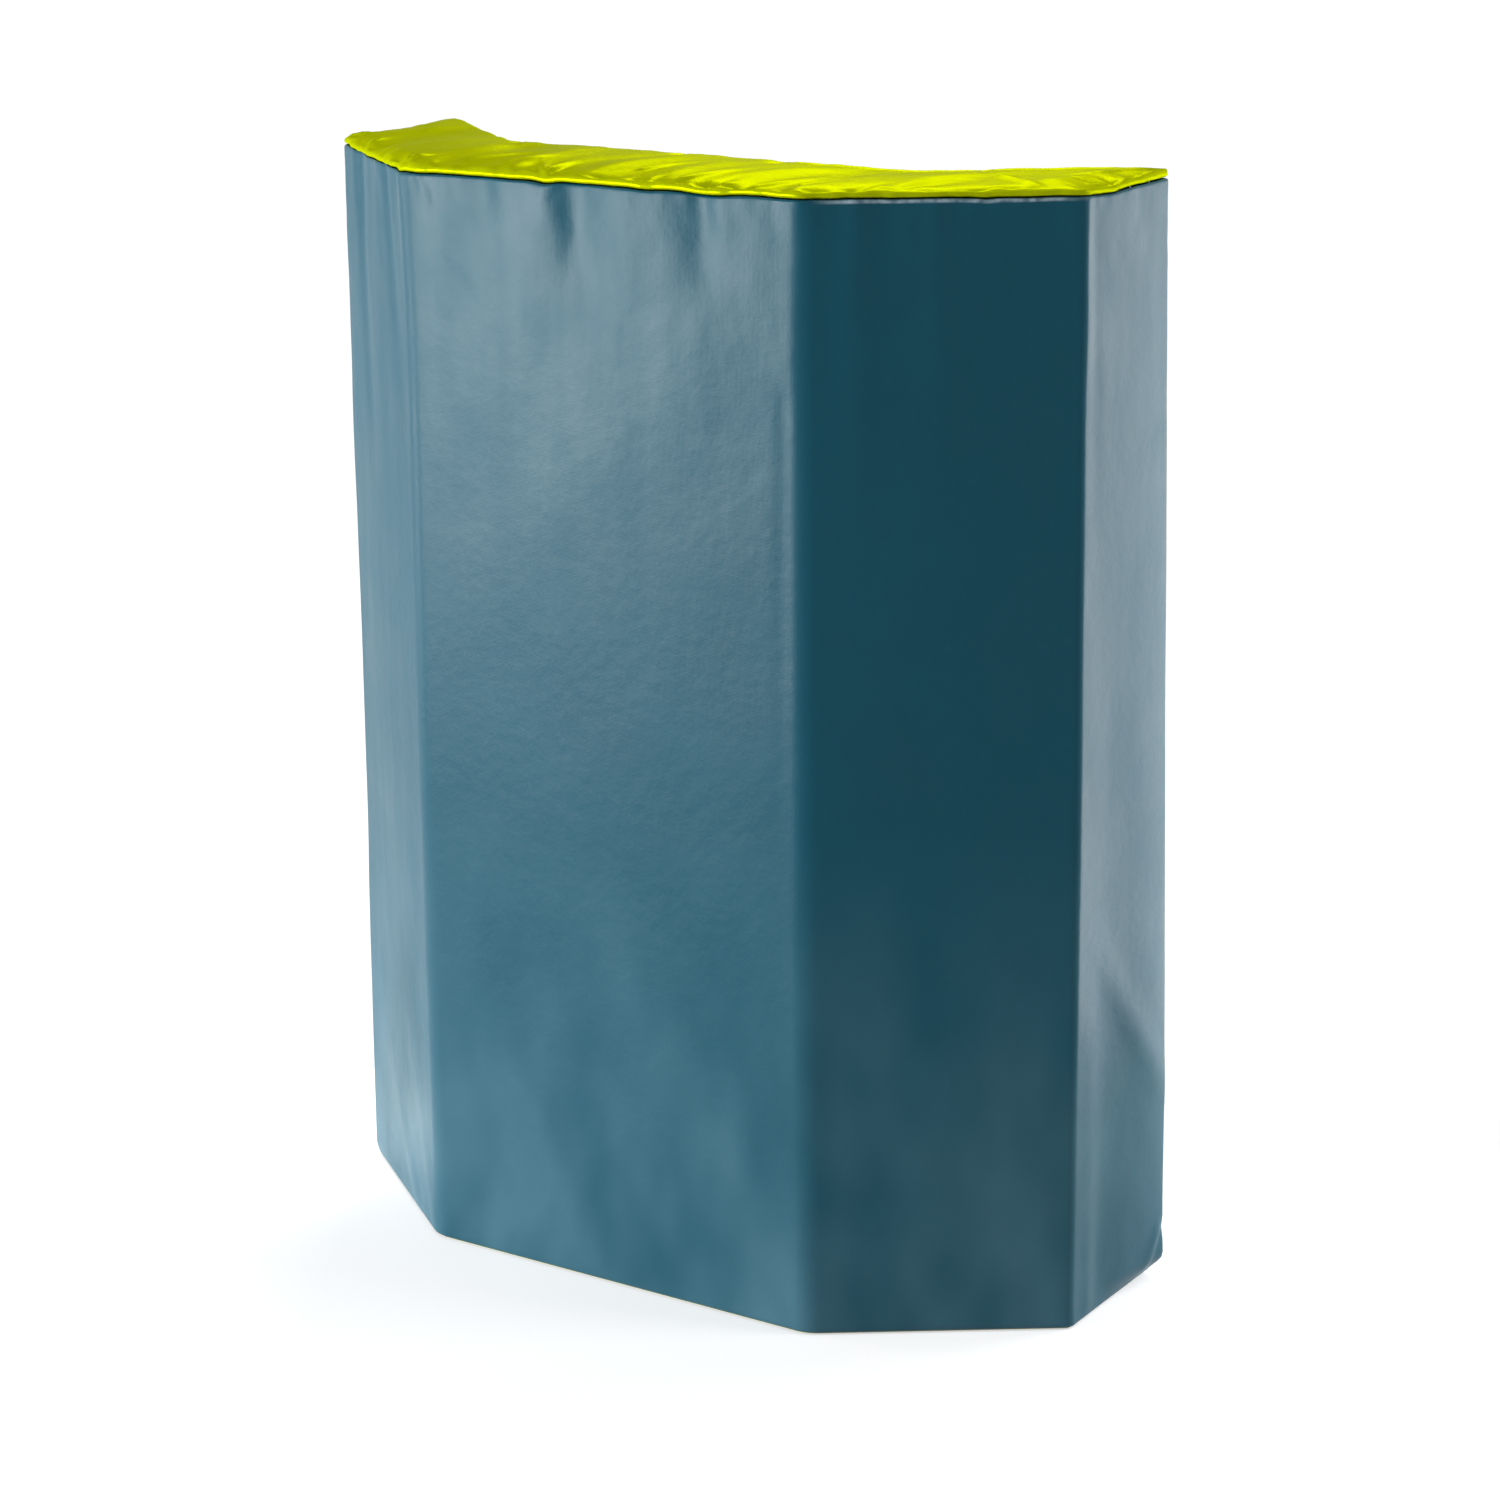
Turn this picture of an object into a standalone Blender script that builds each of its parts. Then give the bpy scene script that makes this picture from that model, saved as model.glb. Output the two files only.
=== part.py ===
"""A curved strike shield: a facetted foam body in a zipped vinyl cover, with hand grips and arm bands.

Metres, +Z up. The strike face looks along -Y and the holder stands on the +Y side.
"""
from collections import namedtuple
from math import atan2, cos, pi, radians, sin, sqrt, tan

import bmesh
import bpy
from mathutils import Matrix, Vector
from mathutils.geometry import delaunay_2d_cdt

# Body seen from above: a centre facet with a flank and an end facet at each side
CENTRE_WIDTH = 0.310
FLANK_WIDTH = 0.175
FLANK_TURN = radians(36.6)
END_WIDTH = 0.118
END_TURN = radians(56.8)
CENTRE_THICKNESS = 0.126
RIDGE_RADIUS = 0.012
EDGE_RADIUS = 0.010
REAR_RADIUS = 0.006
HOLLOW_RADIUS = 0.030

# Body seen from the side
SEAM_HEIGHT = 0.740
CROWN_HEIGHT = 0.0125
CROWN_SHOULDER = 0.0112
CROWN_RUN = 0.014
CROWN_SKIRT = 0.0015
FOLD_DEPTH = 0.0010
FOLD_PITCH = 0.085
FOLD_SLANT = 0.7
HEM_RADIUS = 0.004
HEM_SWEEP = radians(60)

# How far each facet of the strike side swells at its middle
CENTRE_SWELL = 0.0030
FLANK_SWELL = 0.0020
END_SWELL = 0.0015

# Sheet goods and the clearance between pieces that touch
COVER = 0.0007
GAP = 0.0003

# Foam: a soft impact layer glued to a firmer backing layer, mitred at the ridges
IMPACT_LAYER = 0.066
FOAM_CHAMFER = 0.011

# Zip along the right flank of the back
REAR_SEAM = 0.014
ZIP_FROM_REAR = 0.036
ZIP_SLOT = 0.020
TAPE = 0.0006
CHAIN_WIDTH = 0.0070
CHAIN_DEPTH = 0.0026
CHAIN_END = 0.026
STOP_LENGTH = 0.0045
STOP_DEPTH = 0.0032
RUNNING_GAP = 0.0004
SLIDER_LENGTH = 0.018
SLIDER_WALL = 0.0016
SLIDER_WAIST = 0.0006
BAIL_BAR = 0.0014
PULL_WIDTH = 0.0090
PULL_LENGTH = 0.0320
PULL_THICKNESS = 0.0016
PULL_SHOULDER = 0.0080
PULL_FOOT_WIDTH = 0.0072
PULL_TIP_WIDTH = 0.0045
PULL_TIP_LENGTH = 0.0016

# Hand grips on the centre of the back
FITTING_HEIGHT = 0.400
GRIP_SPACING = 0.150
GRIP_RISE = 0.058
GRIP_RADIUS = 0.016
GRIP_LENGTH = 0.122
GRIP_LEG = 0.034
GRIP_WEBBING = 0.038
GRIP_FOLDED = 0.024
SLEEVE_END_RADIUS = 0.0147
SLEEVE_EASE = 0.004

# Arm bands on the flanks of the back
BAND_FROM_HOLLOW = 0.064
BAND_RISE = 0.072
BAND_CREST = 0.022
BAND_LEG = 0.088
BAND_WEBBING = 0.050
PAD_WIDTH = 0.066
PAD_LENGTH = 0.124
PAD_DEPTH = 0.015
PAD_END_WIDTH = 0.062
PAD_END_DEPTH = 0.009

# Webbing ends, sewn down on patches
WEBBING = 0.0020
TAIL = 0.038
PATCH = 0.0010
PATCH_MARGIN = 0.007
PATCH_CORNER = 0.005
WEBBING_LIFT = GAP + PATCH + GAP + WEBBING / 2

# Vents that let air out of the cover under a blow
VENT_SPACING = 0.210
VENT_FROM_END = 0.075
VENT_BORE = 0.0036
VENT_WALL = 0.0005
VENT_FLANGE = 0.0070
VENT_RIM = 0.0012

# Smoothness of the curved pieces
ARC_STEPS = 4
SWELL_STEP = 0.045
ROW_COUNT = 9
LEG_STEPS = 8
ROUND_SIDES = 16
TOP_SPACING = 0.019
TOP_RINGS = (0.0015, 0.006)
LEAST_SPACING = 0.001
SLOPE_STEP = 0.0005
HEM_STEPS = 2
SMOOTH_ANGLE = radians(40)
FLAT_ANGLE = radians(1)
SAME_POINT = 1e-6

# Shares of the zip slider's length, each with its share of the widening there
SLIDER_SPREAD = ((-0.5, 0.0), (-0.1, 0.2), (0.3, 1.0), (0.5, 0.6))

FRAME = "shield_frame"

Corner = namedtuple("Corner", "point radius")
Station = namedtuple("Station", "point facing swell")
Bow = namedtuple("Bow", "half_span half_crest rise lift")
Finish = namedtuple("Finish", "colour roughness metallic")

TEAL_VINYL = Finish((0.045, 0.125, 0.165), 0.42, 0.0)
LIME_VINYL = Finish((0.480, 0.600, 0.005), 0.38, 0.0)
SOFT_FOAM = Finish((0.780, 0.760, 0.690), 0.95, 0.0)
FIRM_FOAM = Finish((0.160, 0.170, 0.180), 0.95, 0.0)
BLACK_WEBBING = Finish((0.012, 0.013, 0.015), 0.80, 0.0)
BLACK_RUBBER = Finish((0.018, 0.018, 0.020), 0.60, 0.0)
BLACK_ACETAL = Finish((0.010, 0.010, 0.011), 0.45, 0.0)
NICKEL = Finish((0.600, 0.590, 0.560), 0.28, 1.0)


def heading(angle):
    """The direction at an angle from +X, seen from above."""
    return Vector((cos(angle), sin(angle)))


def mirrored(point):
    """The same point on the other side of the shield."""
    return Vector((-point.x, point.y))


def body_corners():
    """The outline's corners from above, anticlockwise from the right ridge to the left one."""
    ridge = Vector((CENTRE_WIDTH / 2, 0))
    edge = ridge + FLANK_WIDTH * heading(FLANK_TURN)
    rear = edge + END_WIDTH * heading(FLANK_TURN + END_TURN)
    inner_flank = (rear.y - CENTRE_THICKNESS) / sin(FLANK_TURN)
    hollow = rear - inner_flank * heading(FLANK_TURN)
    right = [
        Corner(ridge, RIDGE_RADIUS),
        Corner(edge, EDGE_RADIUS),
        Corner(rear, REAR_RADIUS),
        Corner(hollow, HOLLOW_RADIUS),
    ]
    return right + [Corner(mirrored(c.point), c.radius) for c in reversed(right)]


CORNERS = body_corners()
RIDGE, EDGE, REAR, HOLLOW = CORNERS[:4]
LEFT_HOLLOW, LEFT_REAR, LEFT_EDGE, LEFT_RIDGE = CORNERS[4:]
INNER_FLANK = (REAR.point - HOLLOW.point).length


def turn_at(before, corner, after):
    """How far a path turns at a corner, positive to the left."""
    into = corner - before
    out = after - corner
    return atan2(into.x * out.y - into.y * out.x, into.dot(out))


def corner_arc(before, corner, after, radius):
    """Stations round a rounded corner of a path that keeps the body on its left."""
    into = (corner - before).normalized()
    turn = turn_at(before, corner, after)
    side = 1 if turn > 0 else -1
    facing = Vector((into.y, -into.x))
    first = corner - into * radius * tan(abs(turn) / 2)
    centre = first - facing * radius * side
    arc = []
    for step in range(ARC_STEPS + 1):
        out = Matrix.Rotation(turn * step / ARC_STEPS, 2) @ facing
        arc.append(Station(centre + out * radius * side, out, 0.0))
    return arc


def inset_corners(inset):
    """The body's corners when every side of the outline moves inwards."""
    moved = []
    for n, corner in enumerate(CORNERS):
        before = CORNERS[n - 1].point
        after = CORNERS[(n + 1) % len(CORNERS)].point
        into = (corner.point - before).normalized()
        turn = turn_at(before, corner.point, after)
        bisector = Matrix.Rotation(turn / 2 + pi / 2, 2) @ into
        radius = corner.radius - inset if turn > 0 else corner.radius + inset
        moved.append(Corner(corner.point + bisector * inset / cos(turn / 2), max(radius, GAP)))
    return moved


def outline(inset):
    """The body's outline from above as one closed loop of points, inset all round."""
    corners = inset_corners(inset)
    loop = []
    for n, corner in enumerate(corners):
        after = corners[(n + 1) % len(corners)].point
        arc = corner_arc(corners[n - 1].point, corner.point, after, corner.radius)
        loop += [station.point for station in arc]
    return loop


def fine_outline(inset):
    """The same loop with points along its flat sides too, close enough for the top panel's folds."""
    coarse = outline(inset)
    loop = []
    for n, end in enumerate(coarse):
        loop += [s.point for s in side_stations(coarse[n - 1], end, 0.0, TOP_SPACING)]
        loop.append(end)
    return loop


def side_stations(start, end, swell, step=SWELL_STEP):
    """Stations between the ends of one flat side, which swells most at its middle."""
    along = end - start
    facing = Vector((along.y, -along.x)).normalized()
    cuts = max(1, round(along.length / step))
    stations = []
    for cut in range(1, cuts):
        share = cut / cuts
        stations.append(Station(start + along * share, facing, swell * (1 - (2 * share - 1) ** 2)))
    return stations


def skin_line(start, corners, end, swells):
    """Stations along a skin that runs from start round each corner to end."""
    points = [start] + [c.point for c in corners] + [end]
    first = points[1] - start
    last = end - points[-2]
    line = [Station(start, Vector((first.y, -first.x)).normalized(), 0.0)]
    for n, corner in enumerate(corners, 1):
        arc = corner_arc(points[n - 1], corner.point, points[n + 1], corner.radius)
        line += side_stations(line[-1].point, arc[0].point, swells[n - 1]) + arc
    line += side_stations(line[-1].point, end, swells[-1])
    line.append(Station(end, Vector((last.y, -last.x)).normalized(), 0.0))
    return line


def skin_rows():
    """Heights up the body, each with the hem's turn inwards and its share of the swelling."""
    foot = COVER + GAP
    rows = []
    for step in range(HEM_STEPS, -1, -1):
        angle = HEM_SWEEP * step / HEM_STEPS
        lift = HEM_RADIUS * (sin(HEM_SWEEP) - sin(angle))
        rows.append((foot + lift, HEM_RADIUS * (1 - cos(angle)), 0.0))
    start = rows[-1][0]
    for row in range(1, ROW_COUNT + 1):
        share = row / ROW_COUNT
        rows.append((start + (SEAM_HEIGHT - start) * share, 0.0, 1 - (2 * share - 1) ** 4))
    return rows


def add_piece(name, mesh, finish):
    """Turns a bmesh into a named object with its own material, joined to the shield's frame."""
    data = bpy.data.meshes.new(name)
    mesh.to_mesh(data)
    mesh.free()
    piece = bpy.data.objects.new(name, data)
    bpy.context.scene.collection.objects.link(piece)
    piece.parent = bpy.data.objects[FRAME]
    material = bpy.data.materials.new(name + "_finish")
    material.use_nodes = True
    shader = material.node_tree.nodes["Principled BSDF"]
    shader.inputs["Base Color"].default_value = (*finish.colour, 1.0)
    shader.inputs["Roughness"].default_value = finish.roughness
    shader.inputs["Metallic"].default_value = finish.metallic
    data.materials.append(material)
    return piece


def place(piece, spot):
    """Puts a piece at a spot on the back: a point and a turn about the vertical."""
    piece.location, piece.rotation_euler.z = spot


def shade_round(piece):
    """Smooth shading that keeps the sharp edges."""
    piece.data.shade_smooth()
    piece.data.set_sharp_from_angle(angle=SMOOTH_ANGLE)


def bridge(mesh, rings, closed=False):
    """Faces between each ring of vertices and the next, and from the last to the first if closed."""
    pairs = list(zip(rings, rings[1:])) + ([(rings[-1], rings[0])] if closed else [])
    for low, high in pairs:
        for n, corner in enumerate(low):
            mesh.faces.new((low[n - 1], corner, high[n], high[n - 1]))


def loft(name, loops, finish, bore=None, closed=False):
    """A solid through a row of loops: capped, with a bore right through it, or closed as a ring."""
    mesh = bmesh.new()
    rings = [[mesh.verts.new(p) for p in loop] for loop in loops]
    bridge(mesh, rings, closed)
    if bore:
        inner = [[mesh.verts.new(p) for p in loop] for loop in bore]
        bridge(mesh, [inner[0]] + [rings[0]])
        bridge(mesh, inner)
        bridge(mesh, [inner[-1]] + [rings[-1]])
    elif not closed:
        mesh.faces.new(rings[0])
        mesh.faces.new(rings[-1])
    bmesh.ops.recalc_face_normals(mesh, faces=mesh.faces)
    piece = add_piece(name, mesh, finish)
    shade_round(piece)
    return piece


def thicken(piece, thickness):
    """Gives a sheet its thickness on the side that it faces away from."""
    solid = piece.modifiers.new("thickness", "SOLIDIFY")
    solid.thickness = thickness
    solid.offset = -1.0
    solid.use_even_offset = True


def boolean(piece, other, operation):
    """Cuts another object out of a piece, or joins it on, and leaves that object as a guide only."""
    other.hide_render = True
    other.display_type = "WIRE"
    step = piece.modifiers.new(operation.lower(), "BOOLEAN")
    step.operation = operation
    step.object = other


def skin(name, line, finish, thickness=COVER, recess=0.0):
    """A sheet that follows a line of stations from the hem up to the top seam."""
    mesh = bmesh.new()
    rings = []
    for height, turn_in, share in skin_rows():
        ring = []
        for station in line:
            point = station.point + station.facing * (station.swell * share - turn_in - recess)
            ring.append(mesh.verts.new((point.x, point.y, height)))
        rings.append(ring)
    for low, high in zip(rings, rings[1:]):
        for n in range(1, len(low)):
            mesh.faces.new((low[n - 1], low[n], high[n], high[n - 1]))
    piece = add_piece(name, mesh, finish)
    thicken(piece, thickness)
    shade_round(piece)
    return piece


def ring_at(inset, height):
    """One level loop of the body's outline."""
    return [(p.x, p.y, height) for p in outline(inset)]


def on_flank(along, side, height):
    """A spot on a flank of the back, measured along it from the hollow's corner."""
    point = HOLLOW.point + along * heading(FLANK_TURN)
    return Vector((side * point.x, point.y, height)), side * FLANK_TURN


def on_centre(along, height):
    """A spot on the centre facet of the back."""
    return Vector((along, CENTRE_THICKNESS, height)), 0.0


def cut_block(body, planes):
    """A copy of a body without what lies behind each plane, closed again at every cut."""
    block = body.copy()
    for point, normal in planes:
        bmesh.ops.triangulate(block, faces=[f for f in block.faces if len(f.verts) > 4])
        cut = bmesh.ops.bisect_plane(
            block,
            geom=block.verts[:] + block.edges[:] + block.faces[:],
            plane_co=(*(point + normal * GAP / 2), 0),
            plane_no=(*normal, 0),
            clear_inner=True,
        )
        rim = [e for e in cut["geom_cut"] if isinstance(e, bmesh.types.BMEdge)]
        bmesh.ops.edgeloop_fill(block, edges=rim)
    bmesh.ops.dissolve_limit(block, angle_limit=FLAT_ANGLE, verts=block.verts, edges=block.edges)
    return block


def make_foam():
    """The foam body, in three mitred blocks, each an impact layer glued to a backing layer."""
    inside = COVER + GAP
    top = SEAM_HEIGHT + CROWN_SHOULDER - FOLD_DEPTH - COVER - 2 * GAP
    levels = [
        (inside + HEM_RADIUS, inside),
        (inside, inside + HEM_RADIUS + GAP),
        (inside, SEAM_HEIGHT - FOAM_CHAMFER / 2),
        (inside + FOAM_CHAMFER, top),
    ]
    body = bmesh.new()
    rings = [[body.verts.new(p) for p in ring_at(*level)] for level in levels]
    bridge(body, rings)
    body.faces.new(rings[0])
    body.faces.new(rings[-1])
    bmesh.ops.recalc_face_normals(body, faces=body.faces)

    mitre = (HOLLOW.point - RIDGE.point).normalized()
    inwards = Vector((-mitre.y, mitre.x))
    layer = RIDGE.point + mitre * IMPACT_LAYER / mitre.y
    forwards = -Vector((-sin(FLANK_TURN), cos(FLANK_TURN)))
    right_end = [(RIDGE.point, -inwards)]
    left_end = [(LEFT_RIDGE.point, -mirrored(inwards))]
    centre = [(RIDGE.point, inwards), (LEFT_RIDGE.point, mirrored(inwards))]
    blocks = {
        "centre": (centre, layer, Vector((0, -1))),
        "right": (right_end, layer, forwards),
        "left": (left_end, mirrored(layer), mirrored(forwards)),
    }
    for side, (planes, split, front) in blocks.items():
        impact = cut_block(body, planes + [(split, front)])
        add_piece("impact_foam_" + side, impact, SOFT_FOAM)
        backing = cut_block(body, planes + [(split, -front)])
        add_piece("backing_foam_" + side, backing, FIRM_FOAM)
    body.free()


def make_side_skins():
    """The strike side's wrap, the back panel and the narrow facing beyond the zip."""
    seam = REAR.point - REAR_SEAM * heading(FLANK_TURN)
    swells = [0.0, END_SWELL, FLANK_SWELL, CENTRE_SWELL, FLANK_SWELL, END_SWELL, 0.0]
    wrap = [LEFT_REAR, LEFT_EDGE, LEFT_RIDGE, RIDGE, EDGE, REAR]
    skin("front_wrap", skin_line(mirrored(seam), wrap, seam, swells), TEAL_VINYL)

    along = heading(FLANK_TURN)
    zip_line = REAR.point - ZIP_FROM_REAR * along
    near = zip_line + ZIP_SLOT / 2 * along
    far = zip_line - ZIP_SLOT / 2 * along
    skin("zip_facing", skin_line(seam - GAP * along, [], near, [0.0]), TEAL_VINYL)
    far_seam = mirrored(seam - GAP * along)
    back_line = skin_line(far, [HOLLOW, LEFT_HOLLOW], far_seam, [0.0] * 3)
    back = skin("back_panel", back_line, TEAL_VINYL)

    tapes = {
        "zip_tape_outer": (near - GAP * along, zip_line + GAP / 2 * along),
        "zip_tape_inner": (zip_line - GAP / 2 * along, far + GAP * along),
    }
    for name, (start, end) in tapes.items():
        skin(name, skin_line(start, [], end, [0.0]), BLACK_WEBBING, TAPE, COVER - TAPE)
    return back


def edge_distance(point, loop):
    """How far a point lies from a closed loop."""
    nearest = []
    for n, end in enumerate(loop):
        start = loop[n - 1]
        along = end - start
        share = max(0.0, min(1.0, (point - start).dot(along) / along.length_squared))
        nearest.append((point - start - along * share).length)
    return min(nearest)


def crown(point, inside):
    """How far the top panel stands above its seam, with its slanting folds."""
    shoulder = min(1.0, inside / CROWN_RUN)
    rise = CROWN_SKIRT + (CROWN_SHOULDER - CROWN_SKIRT) * sqrt(1 - (1 - shoulder) ** 2)
    middle = min(1.0, inside / (CENTRE_THICKNESS / 2))
    rise += (CROWN_HEIGHT - CROWN_SHOULDER - FOLD_DEPTH) * middle * (2 - middle)
    fold = sin(2 * pi * (point.x + FOLD_SLANT * point.y) / FOLD_PITCH)
    return rise + FOLD_DEPTH * fold * shoulder ** 2


def inner_points(loop):
    """Points inside the outline: rings that follow its edge and a triangular grid within them."""
    points = []
    for ring in TOP_RINGS:
        points += thinned([p for p in fine_outline(ring) if edge_distance(p, loop) > ring - GAP])
    row_step = TOP_SPACING * sqrt(3) / 2
    for row in range(1, int(REAR.point.y / row_step) + 1):
        y = row * row_step
        reach = int(EDGE.point.x / TOP_SPACING) + 1
        for column in range(-reach, reach + 1):
            point = Vector(((column + row % 2 / 2) * TOP_SPACING, y))
            if edge_distance(point, loop) > CROWN_RUN and in_body(point):
                points.append(point)
    return points


def thinned(points):
    """The points of a row without those that crowd the one before them."""
    kept = points[:1]
    for point in points[1:]:
        if (point - kept[-1]).length > LEAST_SPACING:
            kept.append(point)
    return kept


def in_body(point):
    """Whether a point lies inside the body's outline."""
    flank = RIDGE.point - Vector((abs(point.x), point.y))
    depth = flank.dot(Vector((sin(FLANK_TURN), -cos(FLANK_TURN))))
    inner = (HOLLOW.point - RIDGE.point).dot(Vector((-sin(FLANK_TURN), cos(FLANK_TURN))))
    before_end = turn_at(EDGE.point, REAR.point, Vector((abs(point.x), point.y))) > 0
    if abs(point.x) < RIDGE.point.x:
        return 0 < point.y < CENTRE_THICKNESS
    return 0 < depth < inner and before_end


def add_skirt(mesh, height):
    """Carries a panel's edge straight down to a height."""
    rim = [edge for edge in mesh.edges if edge.is_boundary]
    feet = {v: mesh.verts.new((v.co.x, v.co.y, height)) for edge in rim for v in edge.verts}
    for edge in rim:
        corner = edge.link_loops[0]
        start = corner.vert
        end = corner.link_loop_next.vert
        mesh.faces.new((end, start, feet[start], feet[end]))


def make_top_panel():
    """The crowned top panel, which wraps over the foam's top edge down to the seam."""
    loop = fine_outline(0.0)
    inside = inner_points(loop)
    sides = [(n, (n + 1) % len(loop)) for n in range(len(loop))]
    spots, _, faces, *_ = delaunay_2d_cdt(loop + inside, sides, [], 1, SAME_POINT)
    mesh = bmesh.new()
    seam = SEAM_HEIGHT + GAP
    verts = [mesh.verts.new((p.x, p.y, seam + crown(p, edge_distance(p, loop)))) for p in spots]
    for face in faces:
        mesh.faces.new([verts[n] for n in face])
    add_skirt(mesh, seam)
    piece = add_piece("top_panel", mesh, LIME_VINYL)
    thicken(piece, COVER)
    shade_round(piece)


def make_base_panel():
    """The flat base that the shield stands on, seated within the hem."""
    inset = HEM_RADIUS * (1 - cos(HEM_SWEEP))
    loft("base_panel", [ring_at(inset, 0.0), ring_at(inset, COVER)], LIME_VINYL)


def box_loops(half_width, low, high, start, end):
    """Loops of a bar along Z that is half_width to each side and lies from low to high off the back."""
    return [
        [(-half_width, low, z), (half_width, low, z), (half_width, high, z), (-half_width, high, z)]
        for z in (start, end)
    ]


def bevelled(piece, width):
    """Rounds a small fitting's edges."""
    step = piece.modifiers.new("edges", "BEVEL")
    step.width = width
    step.segments = 2
    return piece


def make_zip():
    """The zip's chain, its stops, and the slider with its swinging pull."""
    along = INNER_FLANK - ZIP_FROM_REAR
    chain_low = -(COVER - TAPE) + GAP
    chain_high = chain_low + CHAIN_DEPTH
    chain_start = CHAIN_END
    chain_stop = SEAM_HEIGHT - CHAIN_END
    bar = loft(
        "zip_chain",
        box_loops(CHAIN_WIDTH / 2, chain_low, chain_high, chain_start, chain_stop),
        BLACK_ACETAL,
    )
    place(bevelled(bar, CHAIN_DEPTH / 4), on_flank(along, 1, 0.0))
    stops = {
        "zip_bottom_stop": (chain_start - GAP - STOP_LENGTH, chain_start - GAP),
        "zip_top_stop": (chain_stop + GAP, chain_stop + GAP + STOP_LENGTH),
    }
    for name, (start, end) in stops.items():
        loops = box_loops(CHAIN_WIDTH / 2, chain_low, chain_low + STOP_DEPTH, start, end)
        place(bevelled(loft(name, loops, NICKEL), STOP_DEPTH / 6), on_flank(along, 1, 0.0))

    slider_height = chain_stop - SLIDER_LENGTH / 2
    plate_low = chain_high + RUNNING_GAP
    plate_high = plate_low + SLIDER_WALL
    place(make_slider(chain_low, plate_low, plate_high), on_flank(along, 1, slider_height))
    spot, turn = on_flank(along, 1, slider_height)
    axle = plate_high + bail_room() / 2
    spot += Vector((-sin(turn), cos(turn), 0)) * axle
    place(make_pull(), (spot, turn))


def bail_room():
    """The room under the bail: the pull's cross bar turns freely in it."""
    return PULL_THICKNESS * sqrt(2) + 2 * RUNNING_GAP


def make_slider(low, plate_low, plate_high):
    """A saddle over the chain, wider at its mouth, with a bail on top for the pull."""
    inner = CHAIN_WIDTH / 2 + RUNNING_GAP
    loops = []
    for share, spread in SLIDER_SPREAD:
        outer = inner + SLIDER_WALL + SLIDER_WAIST * spread
        z = SLIDER_LENGTH * share
        right = [(inner, plate_low, z), (inner, low, z), (outer, low, z), (outer, plate_high, z)]
        loops.append(right + [(-x, y, z) for x, y, z in reversed(right)])
    slider = loft("zip_slider", loops, NICKEL)

    room = bail_room()
    top = plate_high + room + BAIL_BAR
    foot = plate_high - SLIDER_WALL / 4
    arch = [
        (room, foot), (room, plate_high + room), (-room, plate_high + room), (-room, foot),
        (-room - BAIL_BAR, foot), (-room - BAIL_BAR, top), (room + BAIL_BAR, top), (room + BAIL_BAR, foot),
    ]
    bail = loft("slider_bail", [[(x, y, z) for z, y in arch] for x in (-BAIL_BAR, BAIL_BAR)], NICKEL)
    bail.parent = slider
    boolean(slider, bail, "UNION")
    return slider


def make_pull():
    """The pull: a tapered plate that hangs from its cross bar, with an eye round the bail's leg."""
    half = PULL_WIDTH / 2
    bar = PULL_THICKNESS / 2
    foot = bar - PULL_LENGTH
    outer = [
        (half, bar), (half, -PULL_SHOULDER),
        (PULL_FOOT_WIDTH / 2, foot + PULL_TIP_LENGTH), (PULL_TIP_WIDTH / 2, foot),
    ]
    outer += [(-x, z) for x, z in reversed(outer)]
    pull = loft("zip_pull", [[(x, y, z) for x, z in outer] for y in (-bar, bar)], NICKEL)
    eye_half = BAIL_BAR + 2 * RUNNING_GAP
    eye_end = -(bail_room() + BAIL_BAR) - 4 * RUNNING_GAP
    eye = [(eye_half, -bar), (eye_half, eye_end), (-eye_half, eye_end), (-eye_half, -bar)]
    depth = PULL_THICKNESS
    cutter = loft("pull_eye", [[(x, y, z) for x, z in eye] for y in (-depth, depth)], NICKEL)
    cutter.parent = pull
    boolean(pull, cutter, "DIFFERENCE")
    return pull


def stand_off(height, bow):
    """How far a bowed strap's middle line stands off the back at a height from its centre."""
    share = (bow.half_span - abs(height)) / (bow.half_span - bow.half_crest)
    share = max(0.0, min(1.0, share))
    return bow.lift + (bow.rise - bow.lift) * share * share * (3 - 2 * share)


def bow_line(heights, bow):
    """Points on a strap's middle line, each with the direction square to it."""
    line = []
    for height in heights:
        above = stand_off(height + SLOPE_STEP, bow)
        slope = (above - stand_off(height - SLOPE_STEP, bow)) / (2 * SLOPE_STEP)
        square = Vector((0, 1, -slope)).normalized()
        line.append((Vector((0, stand_off(height, bow), height)), square))
    return line


def strap_heights(bow, sleeve_end):
    """Heights up a strap, close together along its legs, with its sleeve's two ends among them."""
    leg = bow.half_span - bow.half_crest
    upper = [bow.half_crest + leg * step / LEG_STEPS for step in range(LEG_STEPS + 1)]
    upper = sorted(set(upper) | {sleeve_end, bow.half_span + TAIL})
    return [-height for height in reversed(upper)] + upper


def make_strap(name, bow, sleeve_end, wide, narrow, spot):
    """A webbing strap, flat on its patches at both ends and bowed out between them."""
    loops = []
    for point, square in bow_line(strap_heights(bow, sleeve_end), bow):
        share = (point.y - bow.lift) / (bow.rise - bow.lift)
        half = Vector(((wide + (narrow - wide) * share) / 2, 0, 0))
        skinned = square * WEBBING / 2
        loops.append([
            point - half - skinned, point + half - skinned,
            point + half + skinned, point - half + skinned,
        ])
    place(loft(name, loops, BLACK_WEBBING), spot)


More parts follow.
